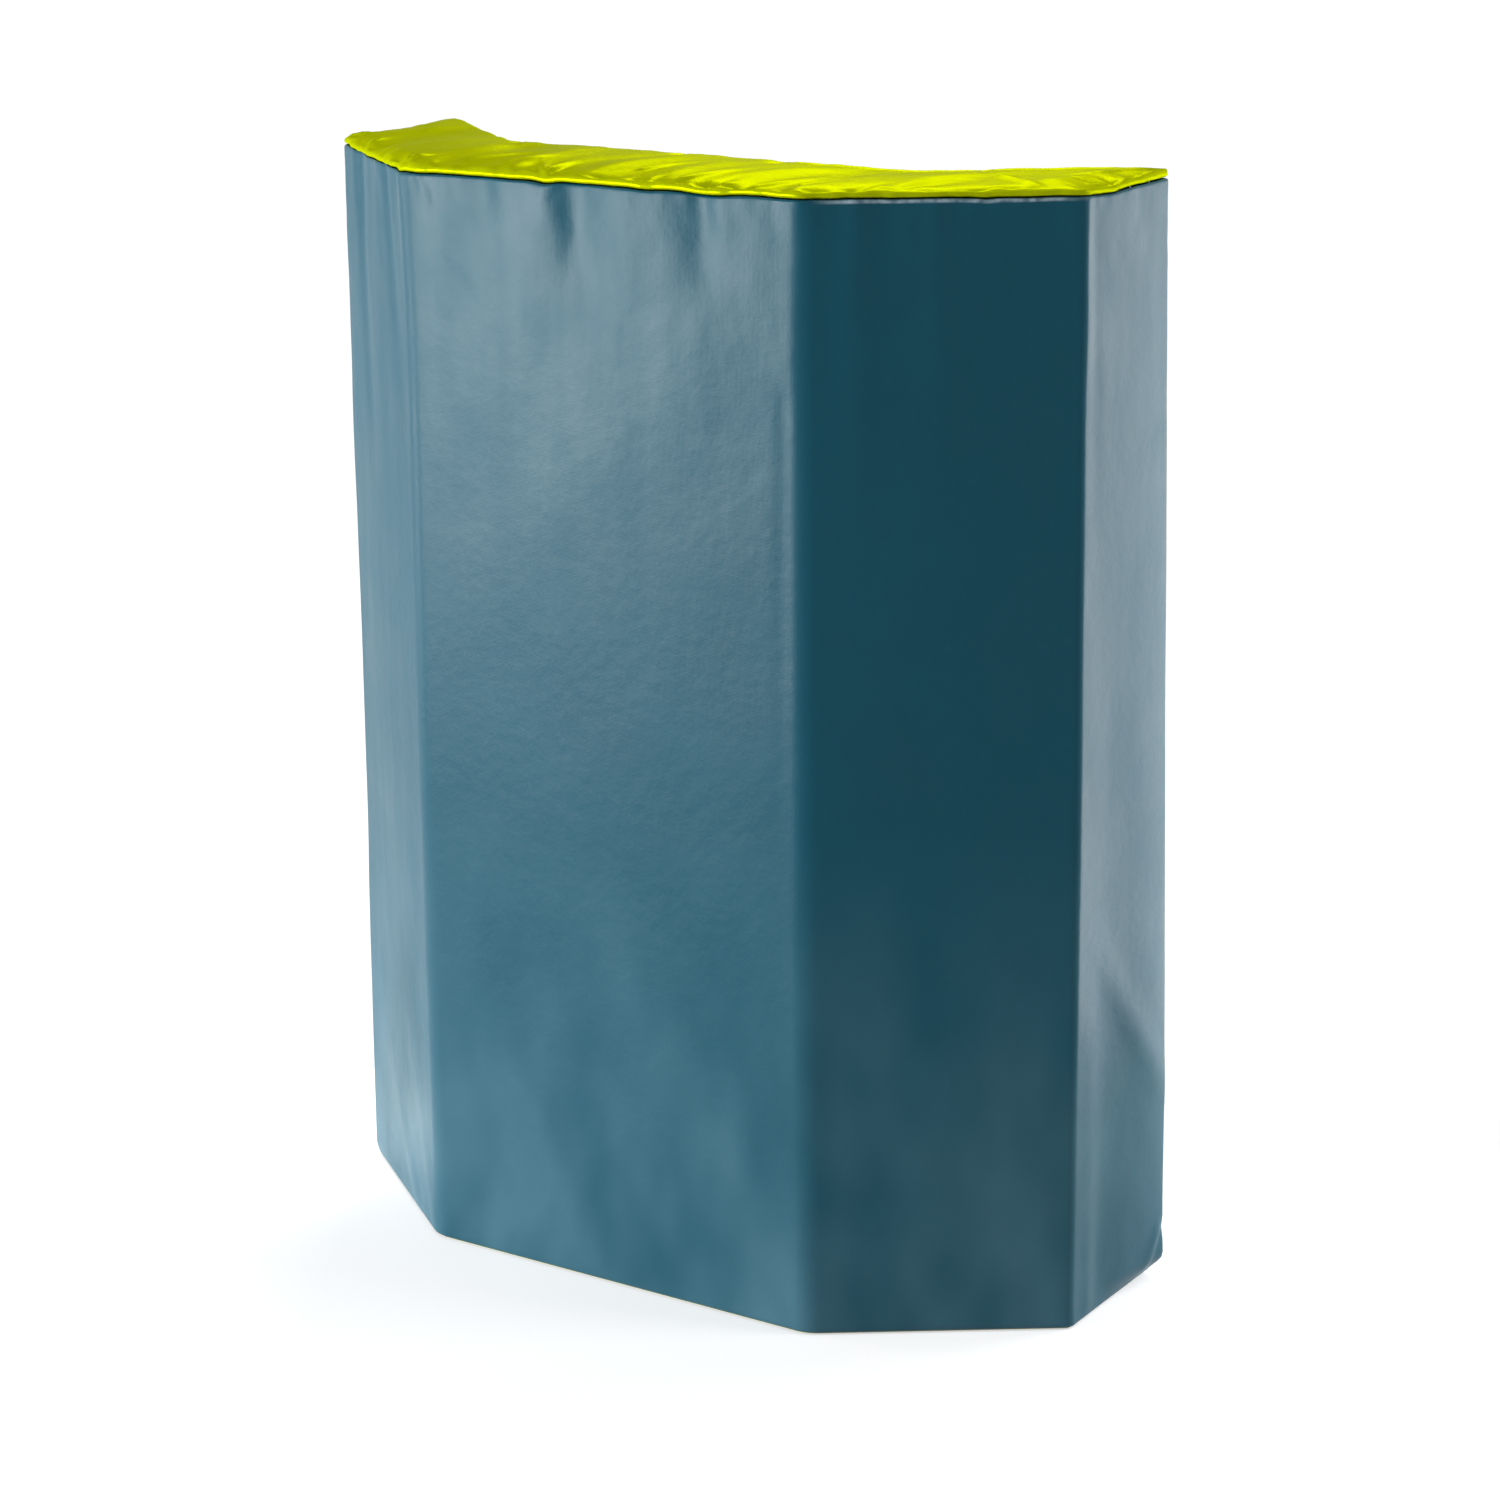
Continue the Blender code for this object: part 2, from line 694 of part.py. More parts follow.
def make_patches(name, width, bow, spot):
    """The two patches under a strap's sewn ends."""
    point, turn = spot
    half_width = width / 2 + PATCH_MARGIN
    half_height = TAIL / 2 + PATCH_MARGIN
    rim = []
    for quarter, (x, z) in enumerate(((1, 1), (-1, 1), (-1, -1), (1, -1))):
        for step in range(ARC_STEPS):
            out = heading(pi / 2 * (quarter + step / (ARC_STEPS - 1))) * PATCH_CORNER
            rim.append((x * (half_width - PATCH_CORNER) + out.x, z * (half_height - PATCH_CORNER) + out.y))
    centre = bow.half_span + TAIL / 2
    for end, offset in (("upper", centre), ("lower", -centre)):
        loops = [[(x, y, z) for x, z in rim] for y in (GAP, GAP + PATCH)]
        patch = loft(name + "_" + end + "_patch", loops, TEAL_VINYL)
        place(patch, (point + Vector((0, 0, offset)), turn))


def make_grips():
    """Two hand grips: webbing folded through a rubber sleeve that stands off the back."""
    half_grip = GRIP_LENGTH / 2
    crest = half_grip + GAP
    bow = Bow(crest + GRIP_LEG, crest, GRIP_RISE, WEBBING_LIFT)
    bore = sqrt((GRIP_FOLDED / 2) ** 2 + (WEBBING / 2) ** 2) + GAP
    for side, label in ((-1, "left"), (1, "right")):
        spot = on_centre(side * GRIP_SPACING / 2, FITTING_HEIGHT)
        make_strap(label + "_grip_webbing", bow, half_grip, GRIP_WEBBING, GRIP_FOLDED, spot)
        make_patches(label + "_grip", GRIP_WEBBING, bow, spot)
        sleeve = loft(
            label + "_grip_sleeve",
            [round_loop(radius, z) for z, radius in sleeve_profile(half_grip)],
            BLACK_RUBBER,
            bore=[round_loop(bore, z) for z in (-half_grip, half_grip)],
        )
        place(sleeve, spot)


def sleeve_profile(half):
    """Heights along a grip's sleeve, with its radius there."""
    ease = half - SLEEVE_EASE
    upper = [(ease, GRIP_RADIUS), (half, SLEEVE_END_RADIUS)]
    return [(-height, radius) for height, radius in reversed(upper)] + upper


def round_loop(radius, height):
    """A level circle round a grip's middle line."""
    turns = [2 * pi * n / ROUND_SIDES for n in range(ROUND_SIDES)]
    return [(radius * cos(a), GRIP_RISE + radius * sin(a), height) for a in turns]


def pad_section(half_width, half_depth, point, square):
    """A rounded loop round an arm band, square to its middle line."""
    loop = []
    for n in range(ROUND_SIDES):
        angle = 2 * pi * n / ROUND_SIDES
        across = cos(angle)
        deep = sin(angle)
        reach = (across ** 4 + deep ** 4) ** -0.25
        loop.append(point + Vector((half_width * across * reach, 0, 0)) + square * half_depth * deep * reach)
    return loop


def make_arm_bands():
    """Two arm bands: webbing bowed out over the forearm, through a padded sleeve."""
    bow = Bow(BAND_CREST + BAND_LEG, BAND_CREST, BAND_RISE, WEBBING_LIFT)
    pad_end = PAD_LENGTH / 2
    heights = [h for h in strap_heights(bow, pad_end) if abs(h) <= pad_end]
    for side, label in ((-1, "left"), (1, "right")):
        spot = on_flank(BAND_FROM_HOLLOW, side, FITTING_HEIGHT)
        make_strap(label + "_band_webbing", bow, pad_end, BAND_WEBBING, BAND_WEBBING, spot)
        make_patches(label + "_band", BAND_WEBBING, bow, spot)
        outer = []
        slot = []
        for n, (point, square) in enumerate(bow_line(heights, bow)):
            end = n in (0, len(heights) - 1)
            width, depth = (PAD_END_WIDTH, PAD_END_DEPTH) if end else (PAD_WIDTH, PAD_DEPTH)
            outer.append(pad_section(width / 2, depth / 2, point, square))
            slot.append(slot_section(point, square))
        place(loft(label + "_arm_pad", outer, BLACK_WEBBING, bore=slot), spot)


def slot_section(point, square):
    """The loop of the slot that the webbing runs through, with as many points as the pad's outside."""
    half_width = BAND_WEBBING / 2 + GAP
    half_depth = WEBBING / 2 + GAP
    loop = []
    for n in range(ROUND_SIDES):
        angle = 2 * pi * n / ROUND_SIDES
        across = max(-1.0, min(1.0, cos(angle) * sqrt(2)))
        deep = max(-1.0, min(1.0, sin(angle) * sqrt(2)))
        loop.append(point + Vector((half_width * across, 0, 0)) + square * half_depth * deep)
    return loop


def make_vents(back):
    """Four eyelets through the back panel."""
    number = 1
    for height in (VENT_FROM_END, SEAM_HEIGHT - VENT_FROM_END):
        for side in (-1, 1):
            spot = on_centre(side * VENT_SPACING / 2, height)
            barrel = VENT_BORE + VENT_WALL
            profile = [
                (VENT_BORE, -COVER), (barrel, -COVER), (barrel, GAP), (VENT_FLANGE, GAP),
                (VENT_FLANGE - VENT_RIM / 2, VENT_RIM), (barrel, VENT_RIM + GAP),
                (VENT_BORE, VENT_RIM / 2),
            ]
            eyelet = loft("vent_eyelet_" + str(number), turned(profile), NICKEL, closed=True)
            place(eyelet, spot)
            hole = barrel + GAP
            cutter = loft("vent_hole_" + str(number), disc_loops(hole, 4 * COVER), NICKEL)
            place(cutter, spot)
            boolean(back, cutter, "DIFFERENCE")
            number += 1


def turned(profile):
    """A profile of (radius, stand-off) pairs turned about a line square to the back."""
    turns = [2 * pi * n / ROUND_SIDES for n in range(ROUND_SIDES)]
    return [[(r * cos(a), y, r * sin(a)) for r, y in profile] for a in turns]


def disc_loops(radius, reach):
    """The two ends of a round bar square to the back."""
    turns = [2 * pi * n / ROUND_SIDES for n in range(ROUND_SIDES)]
    return [[(radius * cos(a), y, radius * sin(a)) for a in turns] for y in (-reach, reach)]


def centre_on_origin():
    """Moves the frame so that the middle of the shield's box stands over the origin."""
    bpy.context.view_layer.update()
    graph = bpy.context.evaluated_depsgraph_get()
    depths = []
    for piece in bpy.data.objects:
        if piece.type == "MESH" and not piece.hide_render:
            ready = piece.evaluated_get(graph)
            depths += [(ready.matrix_world @ v.co).y for v in ready.data.vertices]
    bpy.data.objects[FRAME].location.y = -(min(depths) + max(depths)) / 2


for leftover in list(bpy.data.objects):
    bpy.data.objects.remove(leftover)
bpy.context.scene.collection.objects.link(bpy.data.objects.new(FRAME, None))

make_foam()
back_panel = make_side_skins()
make_top_panel()
make_base_panel()
make_zip()
make_grips()
make_arm_bands()
make_vents(back_panel)
centre_on_origin()
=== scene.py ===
"""The looks of a curved strike shield: its coated covers, zip, grips, arm bands and foam.

Metres, +Z up. The strike face looks along -Y and the holder stands on the +Y side.
"""
from collections import namedtuple
from math import atan2, cos, inf, pi, radians, sin, sqrt, tan

import bmesh
import bpy
import numpy as np
from mathutils import Matrix, Vector
from mathutils.geometry import delaunay_2d_cdt


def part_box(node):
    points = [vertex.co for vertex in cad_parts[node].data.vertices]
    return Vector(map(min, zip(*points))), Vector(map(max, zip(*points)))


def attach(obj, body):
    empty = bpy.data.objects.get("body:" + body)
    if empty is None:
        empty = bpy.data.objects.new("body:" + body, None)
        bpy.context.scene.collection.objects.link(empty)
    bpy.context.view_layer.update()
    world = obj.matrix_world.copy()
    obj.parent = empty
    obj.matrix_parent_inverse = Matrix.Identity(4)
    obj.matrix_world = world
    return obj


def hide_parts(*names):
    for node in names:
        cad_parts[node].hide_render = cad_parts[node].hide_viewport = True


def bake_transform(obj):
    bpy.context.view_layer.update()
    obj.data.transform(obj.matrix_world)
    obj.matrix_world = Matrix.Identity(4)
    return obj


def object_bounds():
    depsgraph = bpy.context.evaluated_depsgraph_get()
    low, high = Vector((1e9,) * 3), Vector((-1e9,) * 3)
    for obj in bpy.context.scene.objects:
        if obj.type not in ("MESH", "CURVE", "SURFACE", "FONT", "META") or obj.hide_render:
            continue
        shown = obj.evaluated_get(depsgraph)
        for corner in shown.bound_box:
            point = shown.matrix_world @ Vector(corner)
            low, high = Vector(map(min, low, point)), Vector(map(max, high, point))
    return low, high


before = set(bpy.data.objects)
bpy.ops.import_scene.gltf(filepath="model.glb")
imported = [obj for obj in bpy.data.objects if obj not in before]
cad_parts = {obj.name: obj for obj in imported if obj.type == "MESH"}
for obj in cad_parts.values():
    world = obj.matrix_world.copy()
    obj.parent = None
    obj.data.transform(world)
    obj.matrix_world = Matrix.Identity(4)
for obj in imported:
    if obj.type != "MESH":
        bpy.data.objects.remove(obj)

CAD_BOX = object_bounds()

# Body seen from above: a centre facet with a flank and an end facet at each side
CENTRE_WIDTH = 0.310
FLANK_WIDTH = 0.175
FLANK_TURN = radians(36.6)
END_WIDTH = 0.118
END_TURN = radians(56.8)
CENTRE_THICKNESS = 0.126
RIDGE_RADIUS = 0.026
EDGE_RADIUS = 0.008
REAR_RADIUS = 0.0035
HOLLOW_RADIUS = 0.030

# Sheet goods and the clearance between pieces that touch
COVER = 0.0007
GAP = 0.0003

# The covers' hem at the foot and the seam under the top panel
SEAM_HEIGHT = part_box("front_wrap")[1].z
FOOT = COVER + GAP
HEM_RADIUS = 0.003
HEM_SWEEP = radians(75)
HEM_CALM = 0.012
SEAM_ROLL = 0.0016
SEAM_STEP = 0.0004
SEAM_REACH = 0.030
DIP_FADE = 0.008

# The base within the hem, and its rounded edge from below: how far in and how high
BASE_INSET = 0.0010
BASE_EDGE = ((0.0006, 0.0), (0.0, 0.0002), (0.0, 0.0005), (0.0004, COVER))

# The crown of the top panel: gentle at the strike side and steep at the back
CROWN_HEIGHT = 0.0098
FRONT_SHOULDER = 0.0066
FRONT_RUN = 0.0130
BACK_SHOULDER = 0.0094
BACK_RUN = 0.0060
CROWN_SKIRT = 0.0028
BACK_FROM_EDGE = 0.05
BACK_EASE = 0.06
TOP_SAG = 0.0030
SAG_START = -0.12
SAG_RUN = 0.24
SAG_FROM_RIM = 0.006

# Foam blocks inside the covers
FOAM_TOP = SEAM_HEIGHT + 0.0010
FOAM_EDGE = 0.002
FOAM_INSET = 0.0070

# Slack cloth that stands out beyond the end facets, beside the rear corners
SLACK = 0.0118
SLACK_LEFT = 0.5
SLACK_FROM_EDGE = 0.024
SLACK_SHORT = 0.018
SLACK_FOOT = 0.017
SLACK_TOP = 0.700
SLACK_CURVE = 0.85

# The foot of the cover leans out at the left edge, less and less up its lower half
LEAN = 0.0026
LEAN_WIDTH = 0.030
LEAN_FALL = 2.2

# How far each facet of the strike side swells at its middle
CENTRE_SWELL = 0.0026
FLANK_SWELL = 0.0017
END_SWELL = 0.0013

# Zip along the right flank of the back
REAR_SEAM = 0.014
ZIP_FROM_REAR = 0.036
ZIP_SLOT = 0.020
TAPE = 0.0006
CHAIN_DEPTH = 0.0026
CHAIN_LIFT = 0.0002
TOOTH_REACH = 0.0041
TOOTH_WIDTH = 0.0015
TOOTH_PITCH = 0.00158
TOOTH_EDGE = 0.0003
TOOTH_OFF_MIDDLE = 0.00140
FITTING_EDGE = 0.0003
ZIP_SEWN_FROM = 0.008
ZIP_SEWN_STEP = 0.006

# Hand grips on the centre of the back
FITTING_HEIGHT = 0.400
GRIP_SPACING = 0.150
GRIP_RISE = 0.058
GRIP_RADIUS = 0.016
GRIP_LENGTH = 0.122
GRIP_LEG = 0.034
GRIP_WEBBING = 0.038
GRIP_FOLDED = 0.024
SLEEVE_COLLAR = 0.006
SLEEVE_RING = 0.0030
SLEEVE_GROOVE = 0.0006
SLEEVE_EDGE = 0.0006
COLLAR_EDGE = ((0.0016, 0.0), (0.0004, 0.0008), (0.0, 0.002))
RING_SHAPE = ((0.0, 1.0), (0.12, 0.9), (0.28, 0.25), (0.5, 0.0), (0.72, 0.25), (0.88, 0.9))

# Arm bands on the flanks of the back
BAND_FROM_HOLLOW = 0.064
BAND_RISE = 0.072
BAND_CREST = 0.022
BAND_LEG = 0.088
BAND_WEBBING = 0.050
PAD_WIDTH = 0.066
PAD_LENGTH = 0.124
PAD_DEPTH = 0.015
PAD_END_WIDTH = 0.062
PAD_END_DEPTH = 0.009
PAD_CHANNELS = 4
PAD_EASE = 0.010
PAD_SEAM = 0.0022
PAD_NARROWED = 0.25
PAD_FLATTENED = 0.42
PAD_FLAT = 0.90
PAD_PUFF = 0.10
PIPING = 0.0016

# Webbing ends, sewn down on patches
WEBBING = 0.0020
TAIL = 0.038
PATCH = 0.0010
PATCH_MARGIN = 0.007
PATCH_CORNER = 0.005
WEBBING_LIFT = GAP + PATCH + GAP + WEBBING / 2

# Sewing
STITCH_PITCH = 0.0034
STITCH_LENGTH = 0.0027
THREAD = 0.00038
STITCH_FROM_EDGE = 0.0030
BOX_FROM_EDGE = 0.004

# Shares along a stitch with its girth there
STITCH_PROFILE = ((-0.5, 0.35), (-0.42, 0.8), (-0.2, 1.0), (0.2, 1.0), (0.42, 0.8), (0.5, 0.35))

# A patch's edge and the groove of its stitches: how far in and how far off the back
GROOVE_HALF = 0.0009
GROOVE_FLOOR = GAP + 0.8 * PATCH
LEAST_CORNER = 0.001
PATCH_LEVELS = (
    (0.0, GAP),
    (0.0, GAP + 0.6 * PATCH),
    (0.0002, GAP + 0.9 * PATCH),
    (0.0006, GAP + PATCH),
    (STITCH_FROM_EDGE - GROOVE_HALF, GAP + PATCH),
    (STITCH_FROM_EDGE, GROOVE_FLOOR),
    (STITCH_FROM_EDGE + GROOVE_HALF, GAP + PATCH),
)

# Vents
VENT_BORE = 0.0036
VENT_BARREL = 0.0041
VENT_FLANGE = 0.0070

# How closely the surfaces are divided
LATTICE = 64
ARC_STEPS = 8
SKIN_STEP = 0.0034
ROW_STEP = 0.0076
ROW_STEP_TOP = 0.0022
ROW_GROWTH_TOP = 0.055
ROW_STEP_FOOT = 0.0030
ROW_GROWTH_FOOT = 0.050
LAST_ROW = 0.0015
HEM_STEPS = 6
ROLL_STEPS = 4
TOP_STEP = 0.0021
TOP_RING_POINTS = 840
TOP_RINGS = (0.0003, 0.0008, 0.0015, 0.0024, 0.0036, 0.0050, 0.0067, 0.0086, 0.0106)
SAME_POINT = 1e-6
ROUND_SIDES = 48
LEG_STEPS = 22
TAIL_STEPS = 8
SLOPE_STEP = 0.0005
STRAP_SIDES = 44
PAD_ROWS = 121
PAD_SIDES = 96
PIPING_SIDES = 12
THREAD_SIDES = 6
HOLE_SIDES = 32
CORNER_STEPS = 6

# How square a rounded loop is: 2 for an ellipse, and more for a squarer one
WEBBING_POWER = 5
PAD_POWER = 3.2
SLOT_POWER = 10

# Floor and world
FLOOR_SIZE = 60.0
FLOOR_GLOW_NEAR = 0.51
FLOOR_GLOW_FAR = 0.86
GLOW_START = 0.4
GLOW_END = 3.0
AMBIENT = 0.25
WHITE = (1.0, 1.0, 1.0)

# The point that most lamps face, and the spread of a gridded lamp
LIT_POINT = (0.0, 0.0, 0.40)
GRID_SPREAD = radians(50)

# The photograph's camera
LENS = 91.1
SENSOR = 36.0
CAMERA_PLACE = (1.4424, -2.0296, 1.0026)
CAMERA_YAW = radians(34.81)
CAMERA_PITCH = radians(-14.75)
CAMERA_ROLL = radians(-0.50)

SHIELD = "shield"
SIDES = ((-1, "left"), (1, "right"))
FOAM_PARTS = ("centre", "left", "right")

Corner = namedtuple("Corner", "point radius")
Bow = namedtuple("Bow", "half_span half_crest rise lift")
Fold = namedtuple("Fold", "start end width depth")
Gather = namedtuple("Gather", "place width depth")
Mound = namedtuple("Mound", "x y width height")
Spot = namedtuple("Spot", "point turn")
Softbox = namedtuple("Softbox", "name place faces width height watts spread", defaults=[pi])

# Random waves: their depth, size, how much of the height counts, their seed and how soon they fade
Wave = namedtuple("Wave", "depth size upright seed fade", defaults=[inf])
WANDER = Wave(0.010, 0.090, 1.0, 4)
COVER_WAVES = (
    Wave(0.00080, 0.100, 0.40, 5),
    Wave(0.00028, 0.045, 0.80, 6),
    Wave(0.00100, 0.040, 0.25, 7, 0.090),
    Wave(0.00055, 0.017, 0.30, 10, 0.060),
)
FINE_WAVES = (Wave(0.00022, 0.013, 1.0, 22, 0.120), Wave(0.00034, 0.0048, 0.1, 8, 0.007))
FOOT_WAVE = Wave(0.00060, 0.045, 0.50, 9, 0.080)
SEAM_WAVE = Wave(0.0003, 0.024, 0.0, 3)
CROWN_WAVE = Wave(0.42, 0.0130, 0.0, 24)
TOP_WANDER = Wave(0.008, 0.050, 1.0, 15)
TOP_RIDGES = Wave(1.0, 0.046, 0.25, 11)
TOP_WAVE = Wave(0.0008, 0.026, 0.20, 16)
TOP_PUCKERS = (Wave(0.0018, 0.0110, 0.4, 13, 0.014), Wave(0.0004, 0.0048, 1.0, 14, 0.009))
SCALLOP = Wave(0.0011, 0.0095, 1.0, 23, 0.005)
PAD_RIPPLE = Wave(0.00030, 0.009, 1.0, 21)

# Folds of the strike side, each from a place round the outline and a height to another
FOLDS = [
    Fold((-0.290, 0.742), (-0.240, 0.440), 0.0130, -0.0025),
    Fold((-0.212, 0.742), (-0.166, 0.540), 0.0110, -0.0022),
    Fold((-0.164, 0.742), (-0.160, 0.640), 0.0110, 0.0020),
    Fold((-0.150, 0.742), (-0.138, 0.715), 0.0035, -0.0009),
    Fold((-0.141, 0.742), (-0.122, 0.712), 0.0035, -0.0008),
    Fold((-0.016, 0.742), (-0.004, 0.620), 0.0230, -0.0037),
    Fold((-0.024, 0.742), (-0.006, 0.640), 0.0090, -0.0003),
    Fold((-0.026, 0.742), (-0.042, 0.715), 0.0050, -0.0007),
    Fold((0.082, 0.742), (0.088, 0.650), 0.0150, -0.0030),
    Fold((-0.090, 0.742), (-0.100, 0.660), 0.0180, -0.0016),
    Fold((-0.120, 0.690), (-0.085, 0.668), 0.0045, 0.0005),
    Fold((-0.128, 0.660), (-0.092, 0.646), 0.0050, 0.0004),
    Fold((0.143, 0.620), (0.139, 0.200), 0.0080, -0.0005),
    Fold((0.188, 0.742), (0.190, 0.480), 0.0130, 0.0013),
    Fold((0.238, 0.742), (0.240, 0.540), 0.0120, 0.0011),
    Fold((0.340, 0.742), (0.350, 0.380), 0.0090, -0.0007),
    Fold((0.420, 0.742), (0.424, 0.420), 0.0120, 0.0004),
    Fold((0.352, 0.002), (0.350, 0.320), 0.0120, 0.0009),
    Fold((0.443, 0.038), (0.414, -0.014), 0.0045, -0.0011),
    Fold((0.435, 0.038), (0.406, -0.014), 0.0036, 0.0013),
    Fold((-0.200, 0.000), (-0.310, 0.150), 0.0100, 0.0008),
    Fold((-0.160, 0.000), (-0.235, 0.210), 0.0110, 0.0007),
    Fold((-0.150, 0.000), (-0.060, 0.160), 0.0120, 0.0006),
    Fold((0.300, 0.000), (0.200, 0.170), 0.0130, 0.0007),
    Fold((0.325, 0.000), (0.270, 0.240), 0.0120, 0.0006),
]

# A slanting fold of the right end facet
DRAG_LINE = Fold((0.326, 0.296), (0.476, 0.088), 0.0120, 0.0013)

# Creases of the top panel, each from one point in plan to another
TOP_CREASES = [
    Fold((0.060, -0.114), (0.074, -0.026), 0.0050, 0.0015),
    Fold((0.114, -0.110), (0.129, -0.024), 0.0050, 0.0014),
    Fold((0.139, -0.094), (0.158, -0.030), 0.0040, 0.0010),
    Fold((0.012, -0.086), (0.027, -0.016), 0.0042, 0.0012),
    Fold((-0.122, -0.094), (-0.082, -0.014), 0.0060, 0.0014),
    Fold((-0.086, -0.100), (-0.070, -0.050), 0.0045, 0.0010),
    Fold((-0.247, -0.045), (-0.252, 0.004), 0.0040, 0.0010),
    Fold((0.224, 0.003), (0.310, -0.056), 0.0050, 0.0013),
    Fold((0.176, -0.095), (0.186, -0.045), 0.0050, -0.0010),
    Fold((0.200, -0.070), (0.210, -0.012), 0.0080, -0.0014),
    Fold((-0.040, -0.119), (-0.052, -0.064), 0.0028, 0.0018),
    Fold((-0.042, -0.119), (-0.068, -0.082), 0.0026, 0.0012),
    Fold((-0.156, -0.112), (-0.146, -0.072), 0.0028, 0.0016),
    Fold((-0.162, -0.108), (-0.186, -0.070), 0.0030, 0.0010),
]
CREASE_GAIN = 1.3

# The top panel's ridges between its broad folds, and its shallow mounds and hollows
RIDGE_DEPTH = 0.0034
RIDGE_LEVEL = 0.5
RIDGE_BLUNT = 0.02
RIDGE_SLANT = 0.12
MOUNDS = (Mound(0.165, -0.035, 0.050, -0.0016), Mound(-0.275, 0.085, 0.045, 0.0022))
REAR_DROP = 0.0046
REAR_DROP_WIDTH = 0.015

# How the top panel's relief eases in from its edge, and what share of it the back edge loses
EDGE_EASE = 0.004
RIDGE_EASE = 0.016
RIDGE_EASE_MORE = 0.026
PUCKERS_LOST = 0.7
SCALLOP_LOST = 0.8

# Where the seam is gathered: places round the outline, with how wide and how far it dips there
GATHERS = (
    Gather(-0.262, 0.006, 0.0004), Gather(-0.170, 0.008, 0.0014), Gather(-0.039, 0.008, 0.0015),
    Gather(0.042, 0.012, 0.0009), Gather(0.088, 0.018, 0.0014), Gather(0.268, 0.006, 0.0005),
    Gather(0.366, 0.024, 0.0015), Gather(0.560, 0.006, 0.0009), Gather(0.700, 0.006, 0.0012),
    Gather(-0.745, 0.006, 0.0012), Gather(-0.610, 0.006, 0.0009), Gather(-0.330, 0.045, -0.0022),
)

# The creases that fan out from a gather: their turn, how far they reach, and ridge or groove
GATHER_FAN = ((-0.5, 0.035, 1), (0.0, 0.045, -1), (0.5, 0.030, 1))
FAN_WIDTH = 0.0032
FAN_SHARE = 0.6


def heading(angle):
    """The direction at an angle from +X, seen from above."""
    return np.array([cos(angle), sin(angle)])


def smoothstep(share):
    """An even rise from 0 to 1."""
    share = np.clip(share, 0.0, 1.0)
    return share * share * (3 - 2 * share)


def smooth_noise(x, y, size, seed):
    """Gentle random waves from -1 to 1, about size metres across."""
    lattice = np.random.default_rng(seed).uniform(-1, 1, (LATTICE, LATTICE))
    across = (0.8 * x + 0.6 * y) / size + seed
    up = (0.8 * y - 0.6 * x) / size + seed
    column, row = np.floor(across).astype(int), np.floor(up).astype(int)
    ease_across, ease_up = [t ** 3 * (t * (t * 6 - 15) + 10) for t in (across - column, up - row)]
    corners = [[lattice[(row + r) % LATTICE, (column + c) % LATTICE] for c in (0, 1)] for r in (0, 1)]
    low, high = [left * (1 - ease_across) + right * ease_across for left, right in corners]
    return low * (1 - ease_up) + high * ease_up


def waves(across, up, wave):
    """The height of random waves."""
    return wave.depth * smooth_noise(across, up * wave.upright, wave.size, wave.seed)


def runs(line):
    """How far along a line of points each one lies."""
    return np.concatenate([[0.0], np.cumsum(np.linalg.norm(np.diff(line, axis=0), axis=1))])


def between(places, stops, rows, period=None):
    """Rows of numbers that are given at stops, read at the places between them."""
    return np.stack([np.interp(places, stops, column, period=period) for column in rows.T], -1)


def turns(count):
    """Even angles all the way round."""
    return 2 * pi * np.arange(count) / count


def body_corners():
    """The outline's corners from above, anticlockwise from the right ridge to the left one."""
    ridge = np.array([CENTRE_WIDTH / 2, 0.0])
    edge = ridge + FLANK_WIDTH * heading(FLANK_TURN)
    rear = edge + END_WIDTH * heading(FLANK_TURN + END_TURN)
    inner_flank = (rear[1] - CENTRE_THICKNESS) / sin(FLANK_TURN)
    hollow = rear - inner_flank * heading(FLANK_TURN)
    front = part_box("left_grip_upper_patch")[0].y - GAP - CENTRE_THICKNESS
    right = [
        Corner(ridge + (0, front), RIDGE_RADIUS),
        Corner(edge + (0, front), EDGE_RADIUS),
        Corner(rear + (0, front), REAR_RADIUS),
        Corner(hollow + (0, front), HOLLOW_RADIUS),
    ]
    return right + [Corner(c.point * (-1, 1), c.radius) for c in reversed(right)]


CORNERS = body_corners()
RIDGE, EDGE, REAR, HOLLOW = [corner.point for corner in CORNERS[:4]]
BACK_Y = RIDGE[1] + CENTRE_THICKNESS


def closed_path(inset=0.0):
    """Distances from the front's middle, points and outward directions round the body's outline."""
    points, facings = [], []
    for n, corner in enumerate(CORNERS):
        into = corner.point - CORNERS[n - 1].point
        out = CORNERS[(n + 1) % len(CORNERS)].point - corner.point
        into, out = into / np.linalg.norm(into), out / np.linalg.norm(out)
        turn = atan2(into[0] * out[1] - into[1] * out[0], into @ out)
        side = 1 if turn > 0 else -1
        radius = max(corner.radius - inset * side, GAP)
        inwards = np.array([-into[1] - out[1], into[0] + out[0]])
        middle = corner.point + inwards / np.linalg.norm(inwards) * inset / cos(turn / 2)
        facing = np.array([into[1], -into[0]])
        centre = middle - into * radius * tan(abs(turn) / 2) - facing * radius * side
        for step in range(ARC_STEPS + 1):
            angle = turn * step / ARC_STEPS
            outwards = facing * cos(angle) + into * sin(angle)
            points.append(centre + outwards * radius * side)
            facings.append(outwards)
    points = np.array(points)
    return points[0][0] + runs(points), points, np.array(facings)


def round_length(path):
    """The whole way round an outline."""
    return path[0][-1] + abs(path[1][-1][0])


OUTLINE = closed_path()
PATH, PATH_POINTS = OUTLINE[:2]
ROUND_LENGTH = round_length(OUTLINE)


def along_path(places, path=OUTLINE):
    """Points on an outline and its outward directions at distances from the front's middle."""
    stops, points, facings = path
    length = round_length(path)
    facing = between(places, stops, facings, length)
    return between(places, stops, points, length), facing / np.linalg.norm(facing, axis=-1, keepdims=True)


